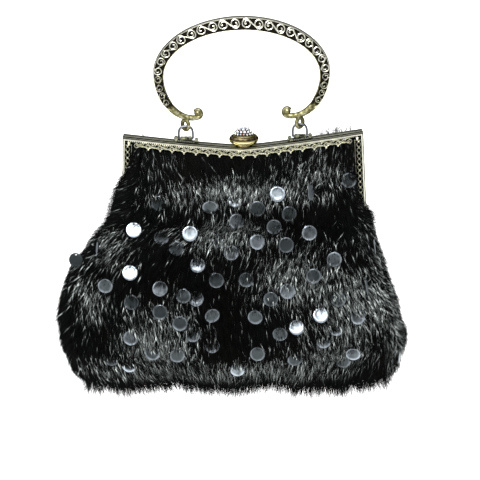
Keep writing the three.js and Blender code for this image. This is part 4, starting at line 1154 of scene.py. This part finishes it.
# The front's paillettes by how they lie: place across and height of each.
PAILLETTES = {
    "lit": [
        (-72.5, -126.9), (-75.5, -153.4), (48.5, -183.0), (32.7, -191.3),
    ],
    "bright": [
        (21.6, -104.6), (-5.3, -121.6), (-35.6, -127.9), (8.0, -134.4), (-56.1, -163.2), (27.0, -166.6),
        (73.6, -187.8), (-76.7, -197.4), (-6.8, -225.3),
    ],
    "plain": [
        (42.0, -129.8), (-54.6, -131.5), (-9.2, -141.6), (58.0, -147.8), (70.4, -214.4),
    ],
    "dim": [
        (68.4, -98.5), (-55.8, -110.4), (8.5, -113.5), (29.0, -117.2), (26.6, -136.3), (-44.9, -138.2),
        (44.2, -157.0), (-19.3, -159.1), (-41.1, -168.4), (16.0, -172.0), (-75.3, -172.7), (-56.5, -178.2),
        (-22.4, -183.2), (5.5, -184.7), (-43.6, -185.9), (21.7, -196.5), (-46.2, -209.8), (6.7, -211.0),
        (31.6, -216.2), (63.6, -220.9),
    ],
    "sunk": [
        (-22.3, -112.4), (19.1, -124.9), (-19.6, -134.0), (0.1, -159.5), (-92.4, -162.5), (60.6, -174.1),
        (-62.6, -207.7), (-91.4, -217.1),
    ],
    "veiled": [
        (-5.0, -108.1), (-31.3, -148.1), (-32.7, -170.8), (59.3, -194.4), (-35.4, -195.5), (50.9, -202.4),
        (-23.0, -204.5), (-79.5, -220.6),
    ],
    "edge": [
        (43.3, -104.7), (-97.1, -142.3), (84.5, -144.0), (78.9, -168.4), (102.3, -222.0),
    ],
    "dark": [
        (-112.4, -150.5),
    ],
}
# How a paillette lies: its share of the way round to a lamp's glint, degrees it is turned aside, how bright
# its film is painted (painted light), how deep it sits in the pile, and the share of hairs that fall over it.
LIES = {
    "lit": {"glint": 1.0, "aside": 0, "film": 1.3, "deep": 0.0, "veil": 0.03},
    "bright": {"glint": 0.3, "aside": 0, "film": 0.85, "deep": 0.0, "veil": 0.35},
    "plain": {"glint": 0.06, "aside": 0, "film": 0.62, "deep": 0.2, "veil": 0.45},
    "dim": {"glint": 0.0, "aside": 0, "film": 0.32, "deep": 0.3, "veil": 0.45},
    "sunk": {"glint": 0.0, "aside": 0, "film": 0.35, "deep": 0.7, "veil": 0.7},
    "veiled": {"glint": 0.55, "aside": 0, "film": 1.1, "deep": 1.2, "veil": 0.9},
    "edge": {"glint": 0.0, "aside": 64, "film": 2.0, "deep": -1.8, "veil": 0.02},
    "dark": {"glint": 0.0, "aside": 0, "film": 0.1, "deep": -0.6, "veil": 0.05},
}


def disc_places():
    """Centre, facing direction, upward direction, painted film brightness (painted light) and veil of every
    paillette.
    """
    rng = np.random.default_rng(SEED + 1)
    cover = solid_tree("fur_pile")
    front = [(x, z, -1, lies) for lies, places in PAILLETTES.items() for x, z in places]
    courses = sorted(front, key=lambda place: (-place[1], place[0]))
    # The back has them in rows, clear of the seams.
    for i, z in enumerate(np.arange(-100, -232, -15.0)):
        left, right = (column(SECTIONS, "z", z, key) for key in ("left", "right"))
        for x in np.arange(-90, 91, 20.0):
            if left + 16 < x < right - 16:
                at = (x + 5 * (i % 2) + rng.uniform(-4, 4), z + rng.uniform(-3, 3))
                courses.append((*at, 1, "plain" if rng.random() < 0.6 else "dim"))
    glint = unit(unit(LAMP_FROM) + unit(CAMERA_FROM))
    discs = []
    for x, z, side, lies in courses:
        hit, normal, _, _ = cover.ray_cast((x, side * 60, z), (0, -side, 0))
        if hit is None:
            continue
        lie = LIES[lies]
        # Only the lit ones face up far enough to catch a lamp.
        tip_back = max(-0.3, min(0.35 if lie["glint"] > 0.1 else 0.1, normal[2]))
        lean = unit(np.array([normal[0] * 0.6, side, tip_back]) + rng.normal(0, 0.06, 3))
        if side < 0:
            lean = unit(lean * (1 - lie["glint"]) + glint * lie["glint"])
        aside = math.radians(lie["aside"]) * (1 if normal[0] > 0 else -1)
        lean = np.array(Matrix.Rotation(aside, 3, "Z") @ Vector(lean))
        up = unit(np.array([0, 0, 1.0]) - lean * lean[2])
        out = 8 * (fuller(x, z) - 1) - lie["deep"]
        # Painted light: each film is painted brighter or darker by how much light that disc should catch,
        # spread a little at random.
        film = lie["film"] * rng.uniform(0.85, 1.15)
        discs.append((np.array(hit) + out * np.array(normal), lean, up, film, lie["veil"]))
    return discs


def build_paillettes(discs):
    """Thin pressed discs, a little cupped, each with a hole near its top and a stitch through it."""
    shape, stitches = Shape(), Shape()
    sides, radius, thick = DISC["sides"], DISC["radius"], DISC["thick"]
    turn = 2 * np.pi * np.arange(sides) / sides
    ring = np.c_[np.cos(turn), np.sin(turn)]
    hole_at = np.array([0, radius - DISC["hole_in"]])
    # Each ring's last number is its share of pale film: the front rim is painted brightest, a painted
    # highlight, and the middle, the hole and the back darker.
    rings = [
        (ring * radius, 0.0, 1.1),
        (ring * (radius - 0.35), thick / 2, 1.5),
        (ring * (radius * 0.72) + 0.15 * hole_at, thick / 2 - 0.22, 0.6),
        (ring * (radius * 0.4) + 0.55 * hole_at, thick / 2 - 0.3, 0.55),
        (ring * DISC["hole"] + hole_at, thick / 2 - 0.25, 0.4),
        (ring * DISC["hole"] + hole_at, -thick / 2 - 0.25, 0.4),
        (ring * (radius * 0.72) + 0.15 * hole_at, -thick / 2 - 0.22, 0.5),
        (ring * (radius - 0.2), -thick / 2, 0.6),
    ]
    # The last ring joins the first.
    faces = [tuple(i % (len(rings) * sides) for i in face) for face in grid_faces(len(rings) + 1, sides)]
    film = np.repeat([share for _, _, share in rings], sides)
    t = np.linspace(0, 1, 5)[:, None]
    for centre, normal, up, shine, _ in discs:
        side = np.cross(up, normal)
        flats = [flat[:, :1] * side + flat[:, 1:] * up + normal * height for flat, height, _ in rings]
        shape.add(centre + np.vstack(flats), faces, film * shine)
        start = centre + up * hole_at[1] - normal * 0.6
        path = start + up * 1.9 * t + normal * (1.3 * np.sin(np.pi * t) - 0.2 * t)
        wire(stitches, path, 0.16, 4, side, 0.2)
    names = sorted(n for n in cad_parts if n.startswith("paillette_"))
    shape.piece("paillettes", FILM, "bag", "sequin", names, smooth=50)
    stitches.piece("paillette_stitches", SKIN, "bag", "cloth", smooth=60)


# ---------------------------------------------------------------- studio

CAMERA_FROM = (0.0, -0.951, 0.309)
LAMP_FROM = (0.07, -0.785, 0.616)
MIDDLE = Vector((-3.3 * MM, 0, -140.5 * MM))
CAMERA = {"away": 0.95, "lens": 106.875, "sensor": 36, "roll": -1.2}
FLOOR = {"z": -0.5, "half": 8, "near": -6, "far": 12}


def lamp(name, place, size, power, towards):
    """A soft lamp: place and size in metres, power in watts."""
    data = bpy.data.lights.new(name, "AREA")
    data.shape, data.size, data.size_y, data.energy = "RECTANGLE", size[0], size[1], power
    obj = bpy.data.objects.new(name, data)
    obj.location = place
    obj.rotation_euler = (Vector(towards) - Vector(place)).to_track_quat("-Z", "Y").to_euler()
    bpy.context.scene.collection.objects.link(obj)
    return obj


def build_studio():
    """A pale floor lit white, soft lamps high on the left and overhead, a small one for the glints."""
    mesh = bpy.data.meshes.new("studio_floor")
    half, near, far, z = FLOOR["half"], FLOOR["near"], FLOOR["far"], FLOOR["z"]
    mesh.from_pydata([(-half, near, z), (half, near, z), (half, far, z), (-half, far, z)], [], [(0, 1, 2, 3)])
    mesh.materials.append(new_material("pale studio floor", Base_Color=linear("#f4f4f4"), Roughness=0.9)[0])
    floor = bpy.data.objects.new("studio_floor", mesh)
    bpy.context.scene.collection.objects.link(floor)

    def around(azimuth, elevation, distance):
        a, e = math.radians(azimuth), math.radians(elevation)
        flat = math.cos(e)
        return MIDDLE + distance * Vector((math.sin(a) * flat, -math.cos(a) * flat, math.sin(e)))

    lamp("key softbox", around(-25, 48, 1.6), (0.8, 0.6), 50, MIDDLE)
    lamp("overhead softbox", around(0, 76, 1.5), (1.6, 1.6), 5, MIDDLE)
    lamp("glint lamp", MIDDLE + 1.5 * Vector(LAMP_FROM), (0.15, 0.15), 6, MIDDLE)
    # This one whitens the floor only: metal doesn't mirror it.
    lamp("floor lamp", (0, 2.6, 2.2), (5, 3.5), 330, (0, 2.6, z)).visible_glossy = False
    world = bpy.data.worlds.new("studio")
    world.use_nodes = True
    world.node_tree.nodes["Background"].inputs["Color"].default_value = (0.11, 0.113, 0.113, 1)
    bpy.context.scene.world = world
    bpy.context.scene.view_settings.view_transform = "Standard"
    data = bpy.data.cameras.new("camera")
    data.lens, data.sensor_width = CAMERA["lens"], CAMERA["sensor"]
    camera = bpy.data.objects.new("camera", data)
    camera.location = MIDDLE + CAMERA["away"] * Vector(CAMERA_FROM)
    aim = (-Vector(CAMERA_FROM)).to_track_quat("-Z", "Y").to_matrix()
    camera.rotation_euler = (aim @ Matrix.Rotation(math.radians(CAMERA["roll"]), 3, "Z")).to_euler()
    bpy.context.scene.collection.objects.link(camera)
    bpy.context.scene.camera = camera


build_handle()
for word, way in (("left", -1), ("right", 1)):
    build_stirrup(f"stirrup_{word}", way)
    build_lug(f"lug_{word}", way)
    build_hinge_pin(f"hinge_pin_{word}", way)
build_frame("frame_front", -1)
build_frame("frame_back", 1)
build_knob()
DISCS = disc_places()
build_coat(DISCS)
build_paillettes(DISCS)
build_studio()
